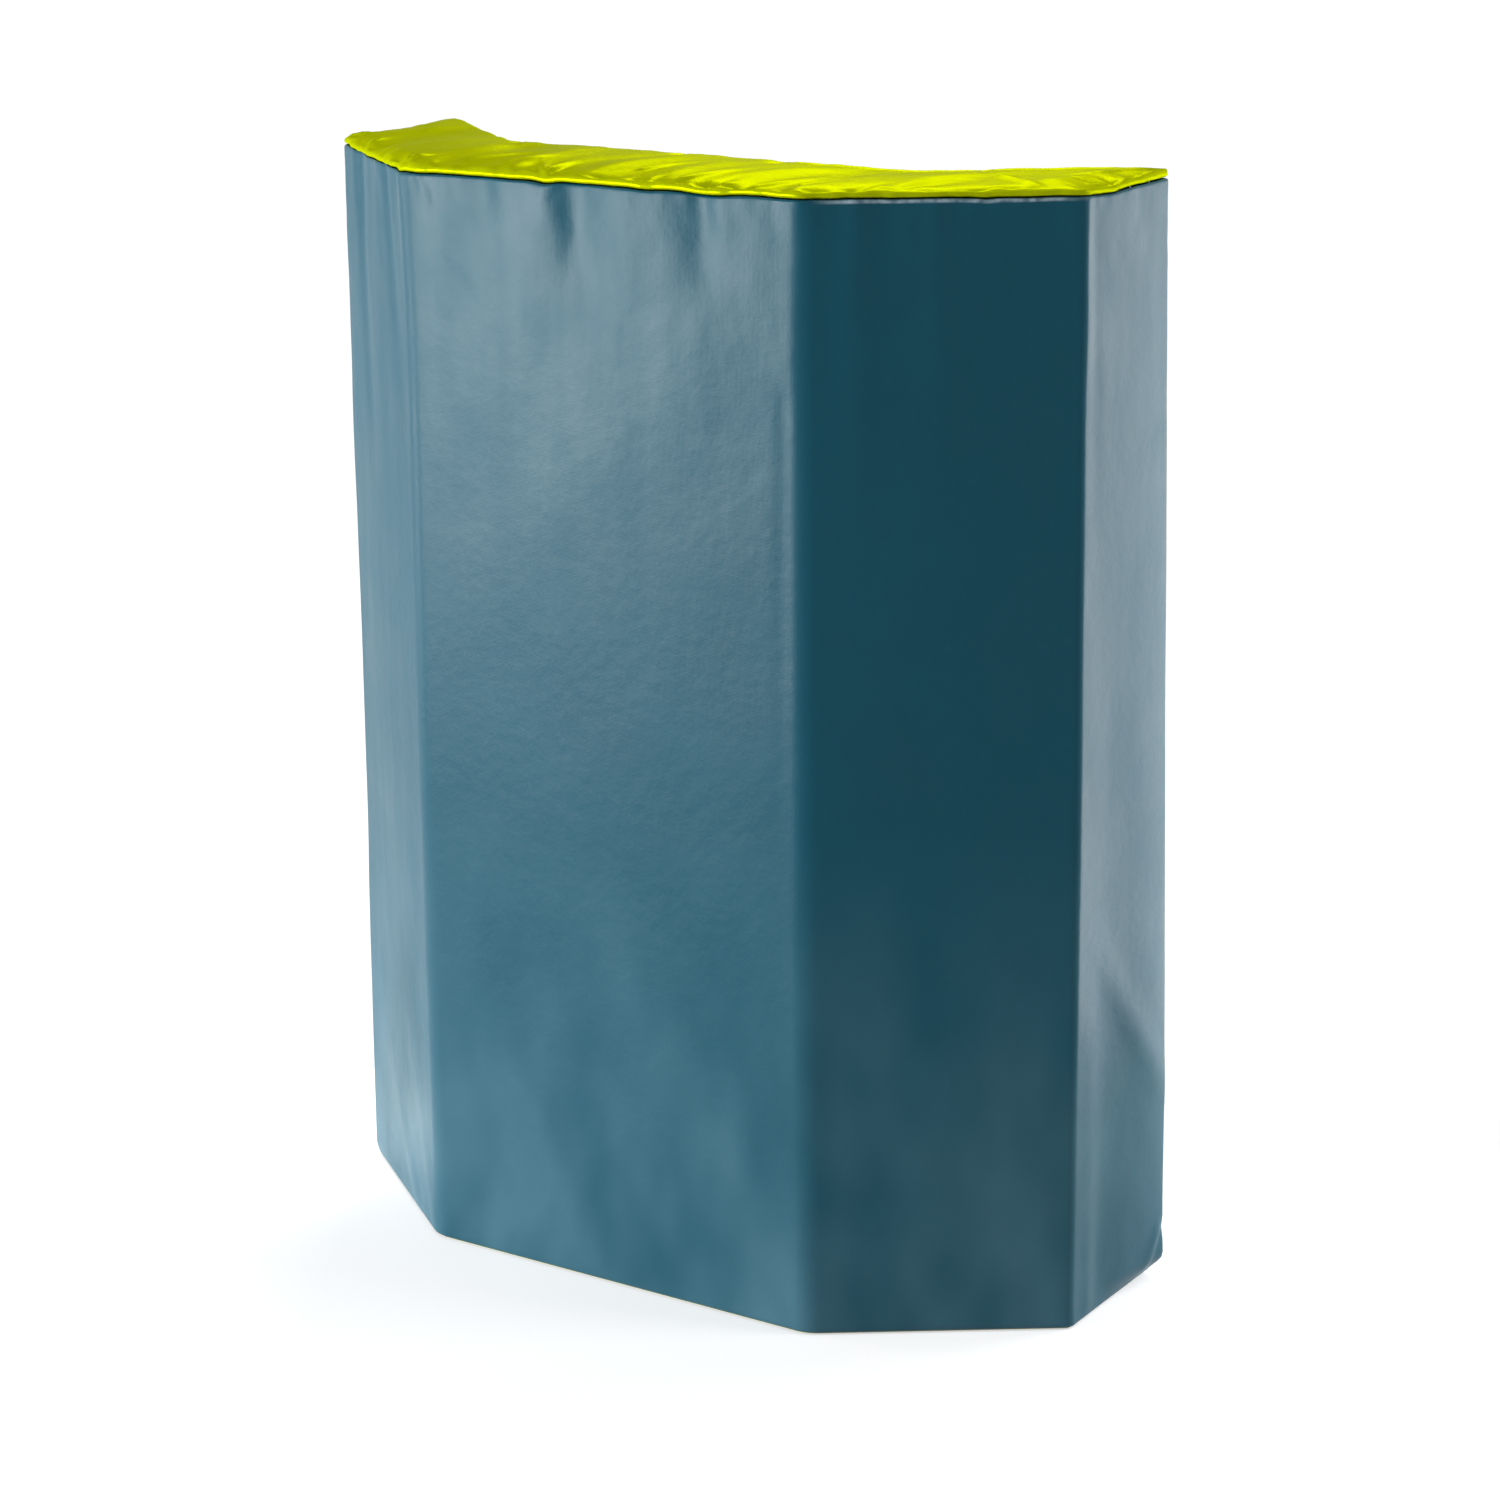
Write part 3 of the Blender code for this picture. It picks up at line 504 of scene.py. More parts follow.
def signed(places):
    """Distances round the outline as left of the front's middle, negative, or right of it."""
    return (places + ROUND_LENGTH / 2) % ROUND_LENGTH - ROUND_LENGTH / 2


def nearest_on_path(points):
    """How far points lie from the outline, and where along it the nearest point is."""
    along = np.roll(PATH_POINTS, -1, axis=0) - PATH_POINTS
    length = np.linalg.norm(along, axis=1)
    from_start = points[:, None] - PATH_POINTS
    share = np.clip((from_start * along).sum(2) / length ** 2, 0, 1)
    distance = np.linalg.norm(from_start - share[..., None] * along, axis=2)
    side = distance.argmin(1)
    rows = np.arange(len(points))
    return distance[rows, side], signed(PATH[side] + share[rows, side] * length[side])


def within_path(points):
    """Whether points lie inside the outline."""
    start, end = PATH_POINTS, np.roll(PATH_POINTS, -1, axis=0)
    x, y = points[:, 0, None], points[:, 1, None]
    spans = (start[:, 1] > y) != (end[:, 1] > y)
    rise = np.where(start[:, 1] == end[:, 1], 1.0, end[:, 1] - start[:, 1])
    crossing = start[:, 0] + (y - start[:, 1]) / rise * (end[:, 0] - start[:, 0])
    return (spans & (x < crossing)).sum(1) % 2 == 1


def place_back_from_rear(distance):
    """The place round the outline at a distance from the rear corner along the right flank's back."""
    point = REAR - distance * heading(FLANK_TURN)
    return nearest_on_path(point[None])[1][0]


RIDGE_PLACE, EDGE_PLACE, REAR_PLACE = nearest_on_path(np.array([RIDGE, EDGE, REAR]))[1]
SEAM_PLACE = place_back_from_rear(REAR_SEAM)
NEAR_PLACE = place_back_from_rear(ZIP_FROM_REAR - ZIP_SLOT / 2)
ZIP_PLACE = place_back_from_rear(ZIP_FROM_REAR)
FAR_PLACE = place_back_from_rear(ZIP_FROM_REAR + ZIP_SLOT / 2)


def beside_fold(x, y, fold):
    """How far along a fold points lie, from 0 to 1, and the square of their distance off its line."""
    along = np.array(fold.end) - fold.start
    from_x, from_y = x - fold.start[0], y - fold.start[1]
    share = np.clip((from_x * along[0] + from_y * along[1]) / (along @ along), 0, 1)
    return share, (from_x - share * along[0]) ** 2 + (from_y - share * along[1]) ** 2


def fold_relief(x, y, fold):
    """The height of one fold over its surroundings: full at its start, fading to its end."""
    share, off = beside_fold(x, y, fold)
    width = fold.width * (0.6 + 0.9 * share)
    return fold.depth * smoothstep(1 - share) * np.exp(-off / width ** 2)


def drag_relief(x, y, fold):
    """The height of one fold that fades towards both of its ends."""
    share, off = beside_fold(x, y, fold)
    return fold.depth * np.sin(pi * share) ** 2 * np.exp(-off / fold.width ** 2)


def seam_dip(place):
    """How far the seam under the top panel lies below its mean height."""
    dip = waves(place, place, SEAM_WAVE)
    for gather in GATHERS:
        dip = dip + gather.depth * np.exp(-((place - gather.place) / gather.width) ** 2)
    return dip


def slack(place, height):
    """How far the cloth stands out beside the rear corners, most of all low down."""
    side = np.abs(place)
    run = REAR_PLACE - EDGE_PLACE - SLACK_SHORT
    rise = smoothstep((side - EDGE_PLACE - SLACK_FROM_EDGE) / run)
    fall = smoothstep((SEAM_PLACE - side) / (SEAM_PLACE - REAR_PLACE))
    up = np.clip((height - SLACK_FOOT) / (SLACK_TOP - SLACK_FOOT), 0, 1)
    reach = smoothstep(height / SLACK_FOOT) * (1 - up) ** SLACK_CURVE
    return SLACK * np.minimum(rise, fall) * np.where(place > 0, reach, SLACK_LEFT * reach)


def swell(place):
    """How far the facets swell outwards at places round the outline."""
    flank_middle = (RIDGE_PLACE + EDGE_PLACE) / 2
    end_middle = (EDGE_PLACE + REAR_PLACE) / 2
    rise = np.zeros_like(place)
    for middle, width, depth in (
        (0.0, CENTRE_WIDTH, CENTRE_SWELL),
        (flank_middle, FLANK_WIDTH, FLANK_SWELL),
        (end_middle, END_WIDTH, END_SWELL),
    ):
        share = np.abs(np.abs(place) - middle) / (width / 2)
        rise += depth * np.clip(1 - share ** 2, 0, None) ** 1.5
    return rise


def cover_relief(place, height):
    """How the stretched cover waves, puckers under its seam and folds."""
    below = np.clip(SEAM_HEIGHT - height, 0, None)
    wander = place + waves(place, height, WANDER)
    relief = np.zeros_like(place)
    for across, patterns in ((wander, COVER_WAVES), (place, FINE_WAVES)):
        for wave in patterns:
            relief += waves(across, height, wave) * np.exp(-below / wave.fade)
    relief += waves(wander, height, FOOT_WAVE) * np.exp(-height / FOOT_WAVE.fade)
    low = np.clip(1 - LEAN_FALL * height / SEAM_HEIGHT, 0, 1)
    relief += LEAN * low * np.exp(-((place + EDGE_PLACE) / LEAN_WIDTH) ** 2)
    for fold in FOLDS:
        relief += fold_relief(place, height, fold)
    return relief + drag_relief(place, height, DRAG_LINE)


def grid_faces(rows, columns, wrap_rows=False, wrap_columns=False):
    """Quads between the points of a grid that is stored row by row."""
    faces = []
    for row in range(rows if wrap_rows else rows - 1):
        low, high = row * columns, (row + 1) % rows * columns
        for column in range(columns if wrap_columns else columns - 1):
            right = (column + 1) % columns
            faces.append((low + column, low + right, high + right, high + column))
    return faces


def place_object(name, data):
    """An object of the scene for a mesh, a lamp or a camera."""
    placed = bpy.data.objects.new(name, data)
    bpy.context.scene.collection.objects.link(placed)
    return placed


def dress_mesh(name, data, finish, body):
    """A smooth mesh's piece that rides on a body, with a material."""
    data.shade_smooth()
    data.materials.append(finish)
    piece = place_object(name, data)
    if body:
        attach(piece, body)
    return piece


def add_piece(name, points, faces, finish, body=SHIELD):
    """A piece of points and the faces between them."""
    data = bpy.data.meshes.new(name)
    data.from_pydata(np.asarray(points).tolist(), [], faces)
    return dress_mesh(name, data, finish, body)


def face_outwards(piece):
    """Turns every face of a closed mesh to look out of it."""
    mesh = bmesh.new()
    mesh.from_mesh(piece.data)
    bmesh.ops.recalc_face_normals(mesh, faces=mesh.faces)
    mesh.to_mesh(piece.data)
    mesh.free()


def keep_sharp(piece, angle=radians(50)):
    """Smooth shading that keeps the sharp edges."""
    piece.data.set_sharp_from_angle(angle=angle)


def set_cloth_places(piece, places):
    """Keeps where each point lies on the flat cloth, for its weave."""
    cloth = piece.data.attributes.new("cloth", "FLOAT_VECTOR", "POINT")
    cloth.data.foreach_set("vector", np.asarray(places, np.float32).ravel())


def thicken(piece, thickness):
    """Gives a sheet its thickness on the side that it faces away from."""
    solid = piece.modifiers.new("thickness", "SOLIDIFY")
    solid.thickness = thickness
    solid.offset = -1.0


def columns_between(start, end, step):
    """Places along the outline: each point of its rounded corners, and even stops between them."""
    laps = np.concatenate([PATH, PATH + ROUND_LENGTH, PATH - ROUND_LENGTH])
    stops = [start] + sorted(p for p in laps if start + GAP < p < end - GAP) + [end]
    places = [np.array([start])]
    for low, high in zip(stops, stops[1:]):
        places.append(np.linspace(low, high, int(np.ceil((high - low) / step)) + 1)[1:])
    return np.concatenate(places)


def cover_rows():
    """Heights up a cover with how far it turns inwards there, at its hem and at its seam."""
    rows = []
    for step in range(HEM_STEPS, 0, -1):
        angle = HEM_SWEEP * step / HEM_STEPS
        rows.append((FOOT + HEM_RADIUS * (sin(HEM_SWEEP) - sin(angle)), HEM_RADIUS * (1 - cos(angle))))
    height = FOOT + HEM_RADIUS * sin(HEM_SWEEP)
    top = SEAM_HEIGHT - SEAM_STEP - SEAM_ROLL
    while height < top - LAST_ROW:
        rows.append((height, 0.0))
        from_top = ROW_STEP_TOP + ROW_GROWTH_TOP * (top - height)
        height += min(ROW_STEP, from_top, ROW_STEP_FOOT + ROW_GROWTH_FOOT * height)
    for step in range(ROLL_STEPS + 1):
        angle = pi / 2 * step / ROLL_STEPS
        rows.append((top + SEAM_ROLL * sin(angle), SEAM_ROLL * (1 - cos(angle))))
    return rows


def skin(name, start, end, finish, calm=1.0, thickness=COVER, recess=0.0):
    """A sheet from the hem up to the top seam, between two places round the outline."""
    places = columns_between(start, end, SKIN_STEP)
    points, facings = along_path(places)
    around = signed(places)
    grid, cloth = [], []
    for height, turn_in in cover_rows():
        heights = np.full(len(places), height)
        dip = seam_dip(around) * smoothstep(1 - (SEAM_HEIGHT - height) / SEAM_REACH)
        share = 1 - (2 * height / SEAM_HEIGHT - 1) ** 4
        relief = cover_relief(around, heights) * smoothstep(height / HEM_CALM) * calm
        out = swell(around) * share + relief - turn_in - recess
        spread = points + facings * out[:, None]
        spread[:, 0] += np.sign(around) * slack(around, heights)
        grid.append(np.column_stack([spread, heights - dip]))
        cloth.append(np.column_stack([places, heights, np.zeros(len(places))]))
    faces = grid_faces(len(grid), len(places))
    piece = add_piece(name, np.concatenate(grid), faces, finish)
    set_cloth_places(piece, np.concatenate(cloth))
    thicken(piece, thickness)
    return piece


def link_input(tree, socket, value):
    """Sets a shader input to a number, a colour or another node's output."""
    if isinstance(value, bpy.types.NodeSocket):
        tree.links.new(value, socket)
    elif isinstance(value, tuple) and len(socket.default_value) == 4:
        socket.default_value = (*value, 1.0)
    else:
        socket.default_value = value


def add_node(tree, kind, inputs, **settings):
    """A shader node with its settings and with its inputs, by name or in order."""
    node = tree.nodes.new("ShaderNode" + kind)
    for name, value in settings.items():
        setattr(node, name, value)
    for key, value in inputs.items() if isinstance(inputs, dict) else enumerate(inputs):
        link_input(tree, node.inputs[key], value)
    return node


def new_finish(name, roughness, level=0.5, metallic=0.0, tint=WHITE):
    """A material with its Principled shader's plain values, and its node tree."""
    material = bpy.data.materials.new(name)
    material.use_nodes = True
    inputs = material.node_tree.nodes["Principled BSDF"].inputs
    inputs["Roughness"].default_value = roughness
    inputs["Metallic"].default_value = metallic
    inputs["Specular IOR Level"].default_value = level
    inputs["Specular Tint"].default_value = (*tint, 1.0)
    return material, material.node_tree


def finished(material, colour, roughness=None, normal=None):
    """A material once its shader has its colour and, where given, its roughness and bumps."""
    tree = material.node_tree
    inputs = tree.nodes["Principled BSDF"].inputs
    for name, value in (("Base Color", colour), ("Roughness", roughness), ("Normal", normal)):
        if value:
            link_input(tree, inputs[name], value)
    return material


def cloth_place(tree):
    """The place on the flat cloth, in metres."""
    return add_node(tree, "Attribute", {}, attribute_name="cloth").outputs["Vector"]


def solid_place(tree):
    """The place in the object, in metres."""
    return add_node(tree, "TexCoord", {}).outputs["Object"]


def stretch(tree, place, scale):
    """A place scaled along each axis."""
    return add_node(tree, "Mapping", {"Vector": place, "Scale": scale}).outputs["Vector"]


def noise(tree, place, size, detail=2.0, roughness=0.5):
    """Random clouds about size metres across, from 0 to 1."""
    inputs = {"Vector": place, "Scale": 1 / size, "Detail": detail, "Roughness": roughness}
    return add_node(tree, "TexNoise", inputs).outputs["Fac"]


def calculate(tree, operation, *values):
    """A plain calculation with values."""
    return add_node(tree, "Math", values, operation=operation).outputs[0]


def level_between(tree, value, low, high, start=0.3, end=0.7):
    """A value spread from low to high as the input goes from start to end."""
    inputs = {"Value": value, "From Min": start, "From Max": end, "To Min": low, "To Max": high}
    return add_node(tree, "MapRange", inputs).outputs["Result"]


def mix(tree, share, first, second):
    """One colour mixed with another by a share."""
    node = add_node(tree, "MixRGB", {"Fac": share, "Color1": first, "Color2": second})
    return node.outputs["Color"]


def threads(tree, place, pitch, turn):
    """The small hills of a plain weave, from -1 to 1, with its threads turned from the upright."""
    turned = add_node(tree, "VectorRotate", {"Vector": place, "Angle": turn}, rotation_type="Z_AXIS")
    parts = add_node(tree, "SeparateXYZ", {"Vector": turned.outputs["Vector"]})
    hills = []
    for axis in ("X", "Y"):
        phase = calculate(tree, "MULTIPLY", parts.outputs[axis], 2 * pi / pitch)
        hills.append(calculate(tree, "SINE", phase))
    return calculate(tree, "MULTIPLY", *hills)


def ribs(tree, place, axis, pitch):
    """Ribs square to an axis, from -1 to 1."""
    parts = add_node(tree, "SeparateXYZ", {"Vector": place})
    return calculate(tree, "SINE", calculate(tree, "MULTIPLY", parts.outputs[axis], 2 * pi / pitch))


def bump(tree, height, depth, under=None):
    """A bump of a real depth, on top of another one."""
    inputs = {"Height": height, "Distance": depth, "Strength": 1.0}
    if under:
        inputs["Normal"] = under
    return add_node(tree, "Bump", inputs).outputs["Normal"]


def within(tree, value, low, high, ease):
    """1 between two values and 0 outside them, with soft ends."""
    rise = level_between(tree, value, 0.0, 1.0, low - ease, low + ease)
    fall = level_between(tree, value, 1.0, 0.0, high - ease, high + ease)
    return calculate(tree, "MULTIPLY", rise, fall)


def painted_seam_highlight(tree, place, parts):
    """The share of a painted highlight along the right flank's rolled seam, broken by its gathers."""
    along = within(tree, parts["X"], RIDGE_PLACE + 0.018, EDGE_PLACE - 0.010, 0.012)
    up = within(tree, parts["Y"], SEAM_HEIGHT - 0.0028, SEAM_HEIGHT - 0.0008, 0.0005)
    broken = level_between(tree, noise(tree, place, 0.007, 2.0), 0.25, 1.0, 0.35, 0.60)
    return calculate(tree, "MULTIPLY", calculate(tree, "MULTIPLY", along, up), broken)


def vinyl_finish(name, deep, pale, level, tint, smooth, matt, metallic=0.0, foot_dust_and_reflection=None):
    """Satin coated cloth: its fine slanting weave, soft crinkles, scuffs and cloudy sheen, and where a foot
    colour is given, dust with a painted floor reflection at its foot and a painted highlight along its
    rolled seam.
    """
    material, tree = new_finish(name, smooth, level, metallic, tint)
    place = cloth_place(tree)
    clouds = noise(tree, place, 0.070, 3.0)
    streaks = noise(tree, stretch(tree, place, (1.0, 0.11, 1.0)), 0.018, 2.0)
    scuffs = level_between(tree, noise(tree, place, 0.012, 4.0, 0.6), 0.0, 0.30, 0.62, 0.80)
    worn = tuple(min(1.0, channel * 1.25 + 0.006) for channel in pale)
    colour = mix(tree, scuffs, mix(tree, clouds, deep, pale), worn)
    if foot_dust_and_reflection:
        # Paler towards the foot in slanting patches: partly dust, partly a painted reflection of the pale
        # floor
        slanting = noise(tree, stretch(tree, place, (1.0, 0.55, 1.0)), 0.085, 2.0)
        parts = add_node(tree, "SeparateXYZ", {"Vector": place}).outputs
        low = level_between(tree, parts["Y"], 1.0, 0.0, 0.02, 0.34)
        patchy = level_between(tree, slanting, 0.25, 1.0, 0.35, 0.62)
        colour = mix(tree, calculate(tree, "MULTIPLY", low, patchy), colour, foot_dust_and_reflection)
        # A painted highlight along the right flank's rolled seam
        colour = mix(tree, painted_seam_highlight(tree, place, parts), colour, SEAM_HIGHLIGHT_COLOUR)
    sheen = calculate(tree, "MULTIPLY_ADD", calculate(tree, "SUBTRACT", streaks, clouds), 0.4, clouds)
    crinkle = bump(tree, noise(tree, place, 0.013, 3.0, 0.55), 0.00026)
    grain = bump(tree, noise(tree, place, 0.0022, 2.0), 0.00003, crinkle)
    woven = bump(tree, threads(tree, place, 0.0013, radians(45)), 0.000012, grain)
    return finished(material, colour, level_between(tree, sheen, smooth, matt), woven)


def webbing_finish(name, colour, pitch):
    """Matt woven webbing: herringbone ribs, paler on the raised threads and darker between them."""
    material, tree = new_finish(name, 0.75, 0.3)
    place = cloth_place(tree)
    weave = threads(tree, place, pitch, radians(38))
    rows = ribs(tree, place, "X", pitch * 2.4)
    height = calculate(tree, "MULTIPLY_ADD", rows, 0.5, weave)
    fuzz = noise(tree, place, 0.0009, 3.0)
    # Paler on the raised threads and darker between them, by the weave's height
    paler_share = level_between(tree, calculate(tree, "MULTIPLY_ADD", fuzz, 1.2, height), 0.0, 1.0, -0.6, 2.2)
    pale = tuple(channel * 2.6 + 0.006 for channel in colour)
    woven = bump(tree, height, 0.00010, bump(tree, fuzz, 0.00008))
    return finished(material, mix(tree, paler_share, colour, pale), level_between(tree, fuzz, 0.66, 0.86), woven)


def rubber_finish(name):
    """Matt moulded rubber with a fine pebble and a greyer bloom where hands rub it."""
    material, tree = new_finish(name, 0.6, 0.4)
    place = solid_place(tree)
    paler_share = level_between(tree, noise(tree, place, 0.016, 3.0), 0.0, 1.0)
    colour = mix(tree, paler_share, (0.012, 0.012, 0.013), (0.024, 0.024, 0.025))
    pebble = bump(tree, noise(tree, place, 0.0006, 2.0), 0.00006)
    return finished(material, colour, level_between(tree, paler_share, 0.52, 0.72, 0.0, 1.0), pebble)


def metal_finish(name, colour, roughness):
    """Plated metal with fine brushing and dull spots."""
    material, tree = new_finish(name, roughness, metallic=1.0)
    place = solid_place(tree)
    dull = noise(tree, place, 0.004, 3.0)
    brushing = noise(tree, stretch(tree, place, (1.0, 1.0, 0.08)), 0.00025, 2.0)
    dark = tuple(channel * 0.82 for channel in colour)
    satin = level_between(tree, dull, roughness - 0.06, roughness + 0.10)
    return finished(material, mix(tree, dull, dark, colour), satin, bump(tree, brushing, 0.000008))


def foam_finish(name, dark, pale, cell):
    """Matt foam, pitted with cells."""
    material, tree = new_finish(name, 0.95, 0.2)
    place = solid_place(tree)
    cells = add_node(tree, "TexVoronoi", {"Vector": place, "Scale": 1 / cell}).outputs["Distance"]
    mottle = noise(tree, place, 0.030, 3.0)
    matt = level_between(tree, mottle, 0.90, 1.0)
    return finished(material, mix(tree, mottle, dark, pale), matt, bump(tree, cells, cell * 0.4))


def acetal_finish(name):
    """Satin moulded acetal."""
    material, tree = new_finish(name, 0.42)
    marks = noise(tree, solid_place(tree), 0.0030, 3.0)
    colour = mix(tree, marks, (0.008, 0.008, 0.009), (0.015, 0.015, 0.016))
    return finished(material, colour, level_between(tree, marks, 0.36, 0.50))


def thread_finish(name, colour):
    """Twisted sewing thread."""
    material, tree = new_finish(name, 0.55, 0.4)
    twist = noise(tree, solid_place(tree), 0.0005, 1.0)
    pale = tuple(channel * 1.8 for channel in colour)
    return finished(material, mix(tree, twist, colour, pale), normal=bump(tree, twist, 0.00006))


# The pale colour of the painted highlight along the right flank's rolled seam
SEAM_HIGHLIGHT_COLOUR = (0.370, 0.490, 0.570)
# The teal's foot colour stands for dust and for a painted reflection of the pale floor
TEAL = vinyl_finish(
    "teal_coated_cloth", (0.002, 0.069, 0.107), (0.003, 0.080, 0.122), level=0.19, tint=(0.90, 0.97, 1.0),
    smooth=0.32, matt=0.42, foot_dust_and_reflection=(0.058, 0.163, 0.220),
)
LIME = vinyl_finish(
    "lime_coated_cloth", (0.390, 0.460, 0.001), (0.440, 0.510, 0.001), level=0.0, tint=(1.0, 1.0, 0.0),
    smooth=0.23, matt=0.33, metallic=0.20,
)
BLACK_WEBBING = webbing_finish("ribbed_webbing", (0.010, 0.011, 0.012), 0.0016)
BLACK_TAPE = webbing_finish("woven_tape", (0.009, 0.009, 0.010), 0.0008)
PAD_CLOTH = webbing_finish("pad_cloth", (0.012, 0.012, 0.013), 0.0007)
RUBBER = rubber_finish("ringed_rubber")
NICKEL = metal_finish("nickel_plate", (0.62, 0.60, 0.56), 0.26)
SOFT_FOAM = foam_finish("open_cell_foam", (0.70, 0.68, 0.60), (0.80, 0.78, 0.71), 0.0016)
FIRM_FOAM = foam_finish("closed_cell_foam", (0.14, 0.15, 0.16), (0.18, 0.19, 0.20), 0.0009)
ACETAL = acetal_finish("black_acetal")
BLACK_THREAD = thread_finish("black_thread", (0.012, 0.012, 0.013))
TEAL_THREAD = thread_finish("teal_thread", (0.004, 0.060, 0.095))


def make_side_covers():
    """The strike side's wrap, the back cover and the strip beyond the zip."""
    front = skin("front_cover", -SEAM_PLACE, SEAM_PLACE, TEAL)
    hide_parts("front_wrap")
    back_end = ROUND_LENGTH - SEAM_PLACE - GAP
    back = skin("back_cover", FAR_PLACE, back_end, TEAL, calm=0.6)
    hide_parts("back_panel")
    strip = skin("zip_strip", SEAM_PLACE + GAP, NEAR_PLACE, TEAL, calm=0.2)
    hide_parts("zip_facing")
    for name, start, end in (
        ("zip_tape_inner", ZIP_PLACE + GAP / 2, FAR_PLACE - GAP),
        ("zip_tape_outer", NEAR_PLACE + GAP, ZIP_PLACE - GAP / 2),
    ):
        tape = skin(name + "_cloth", start, end, BLACK_TAPE, 0.1, TAPE, COVER - TAPE)
        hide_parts(name)
    return back


def at_back(place):
    """The share of the top panel's steeper back edge at places round the outline."""
    return smoothstep((np.abs(place) - EDGE_PLACE - BACK_FROM_EDGE) / BACK_EASE)


def crown(inside, place):
    """How far the top panel stands above its seam at distances inside its edge."""
    back = at_back(place)
    run = FRONT_RUN + (BACK_RUN - FRONT_RUN) * back
    run *= 1 + waves(place, place, CROWN_WAVE) * (1 - back)
    full = FRONT_SHOULDER + (BACK_SHOULDER - FRONT_SHOULDER) * back
    shoulder = np.clip(inside / run, 0, 1)
    rise = CROWN_SKIRT + (full - CROWN_SKIRT) * np.sqrt(1 - (1 - shoulder) ** 2)
    middle = np.clip(inside / (CENTRE_THICKNESS / 2), 0, 1)
    return rise + (CROWN_HEIGHT - full) * middle * (2 - middle)


def mound_relief(x, y, mound):
    """The height of a shallow mound or hollow."""
    return mound.height * np.exp(-((x - mound.x) ** 2 + (y - mound.y) ** 2) / mound.width ** 2)


def gather_folds():
    """The short folds of the top panel that fan out from the seam's gathers."""
    folds = []
    for gather in GATHERS:
        (start,), (facing,) = along_path(np.array([gather.place]))
        for turn, reach, sign in GATHER_FAN:
            inwards = -(facing * cos(turn) + np.array([-facing[1], facing[0]]) * sin(turn))
            folds.append(Fold(start, start + inwards * reach, FAN_WIDTH, FAN_SHARE * gather.depth * sign))
    return folds


def top_relief(points, inside, place):
    """The top panel's puckers along its gathered edge and its folds from front to back."""
    x, y = points.T
    back = at_back(place)
    edge = smoothstep(inside / EDGE_EASE)
    away = smoothstep(inside / (RIDGE_EASE + RIDGE_EASE_MORE * back))
    wander = x - RIDGE_SLANT * y + waves(x, y, TOP_WANDER)
    ridged = RIDGE_LEVEL - np.sqrt(waves(wander, y, TOP_RIDGES) ** 2 + RIDGE_BLUNT)
    relief = RIDGE_DEPTH * ridged * away
    relief += waves(wander, y, TOP_WAVE) * away
    pucker = edge * (1 - PUCKERS_LOST * back)
    for wave in TOP_PUCKERS:
        relief += waves(place, inside, wave) * pucker * np.exp(-inside / wave.fade)
    relief -= TOP_SAG * smoothstep((x - SAG_START) / SAG_RUN) * smoothstep(inside / SAG_FROM_RIM)
    for mound in MOUNDS:
        relief += mound_relief(x, y, mound)
    relief += mound_relief(x, y, Mound(*REAR, REAR_DROP_WIDTH, -REAR_DROP)) * edge
    for crease in TOP_CREASES:
        relief += CREASE_GAIN * fold_relief(x, y, crease) * edge
    for fold in gather_folds():
        relief += fold_relief(x, y, fold) * edge
    return relief


def top_scallop(inside, place):
    """How far the top panel's edge waves in and out along its seam."""
    edge = np.exp(-inside / SCALLOP.fade)
    return waves(place, inside, SCALLOP) * edge * (1 - SCALLOP_LOST * at_back(place))


def top_plan():
    """The top panel's points from above, close together at its edge, and the faces between them."""
    even = np.linspace(0, 1, TOP_RING_POINTS, endpoint=False)
    rings = [along_path(even * ROUND_LENGTH)[0]]
    for inset in TOP_RINGS:
        path = closed_path(inset)
        rings.append(along_path(even * round_length(path), path)[0])
    low, high = CAD_BOX
    grid = []
    for row, y in enumerate(np.arange(low.y, high.y, TOP_STEP * sqrt(3) / 2)):
        grid += [(x + row % 2 * TOP_STEP / 2, y) for x in np.arange(low.x, high.x, TOP_STEP)]
    grid = np.array(grid)
    clear = nearest_on_path(grid)[0] > TOP_RINGS[-1] + TOP_STEP / 2
    grid = grid[clear & within_path(grid)]
    spots = np.concatenate(rings + [grid])
    sides = [(n, (n + 1) % TOP_RING_POINTS) for n in range(TOP_RING_POINTS)]
    found, _, faces, *_ = delaunay_2d_cdt(spots.tolist(), sides, [], 1, SAME_POINT)
    return np.array(found), faces


def make_top_cover():
    """The crowned top panel, which turns under along its seam with the covers."""
    spots, faces = top_plan()
    inside, place = nearest_on_path(spots)
    dip = seam_dip(place) * np.exp(-inside / DIP_FADE)
    heights = SEAM_HEIGHT + crown(inside, place) + top_relief(spots, inside, place) - dip
    facings = along_path(place)[1]
    spread = spots + facings * top_scallop(inside, place)[:, None]
    points = [np.column_stack([spread, heights])]
    rim = np.flatnonzero(inside < GAP / 10)
    rim = rim[place[rim].argsort()]
    foot = SEAM_HEIGHT + SEAM_STEP
    for step in range(ROLL_STEPS + 1):
        angle = pi / 2 * step / ROLL_STEPS
        turned_in = spread[rim] - facings[rim] * SEAM_ROLL * (1 - cos(angle))
        points.append(np.column_stack([turned_in, foot + SEAM_ROLL * (1 - sin(angle)) - dip[rim]]))
    rows = [rim] + [len(spots) + n * len(rim) + np.arange(len(rim)) for n in range(ROLL_STEPS + 1)]
    for above, below in zip(rows, rows[1:]):
        faces += zip(above, below, np.roll(below, -1), np.roll(above, -1))
    points = np.concatenate(points)
    piece = add_piece("top_cover", points, faces, LIME)
    set_cloth_places(piece, points * (1, 1, 0))
    face_outwards(piece)
    thicken(piece, COVER)
    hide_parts("top_panel")


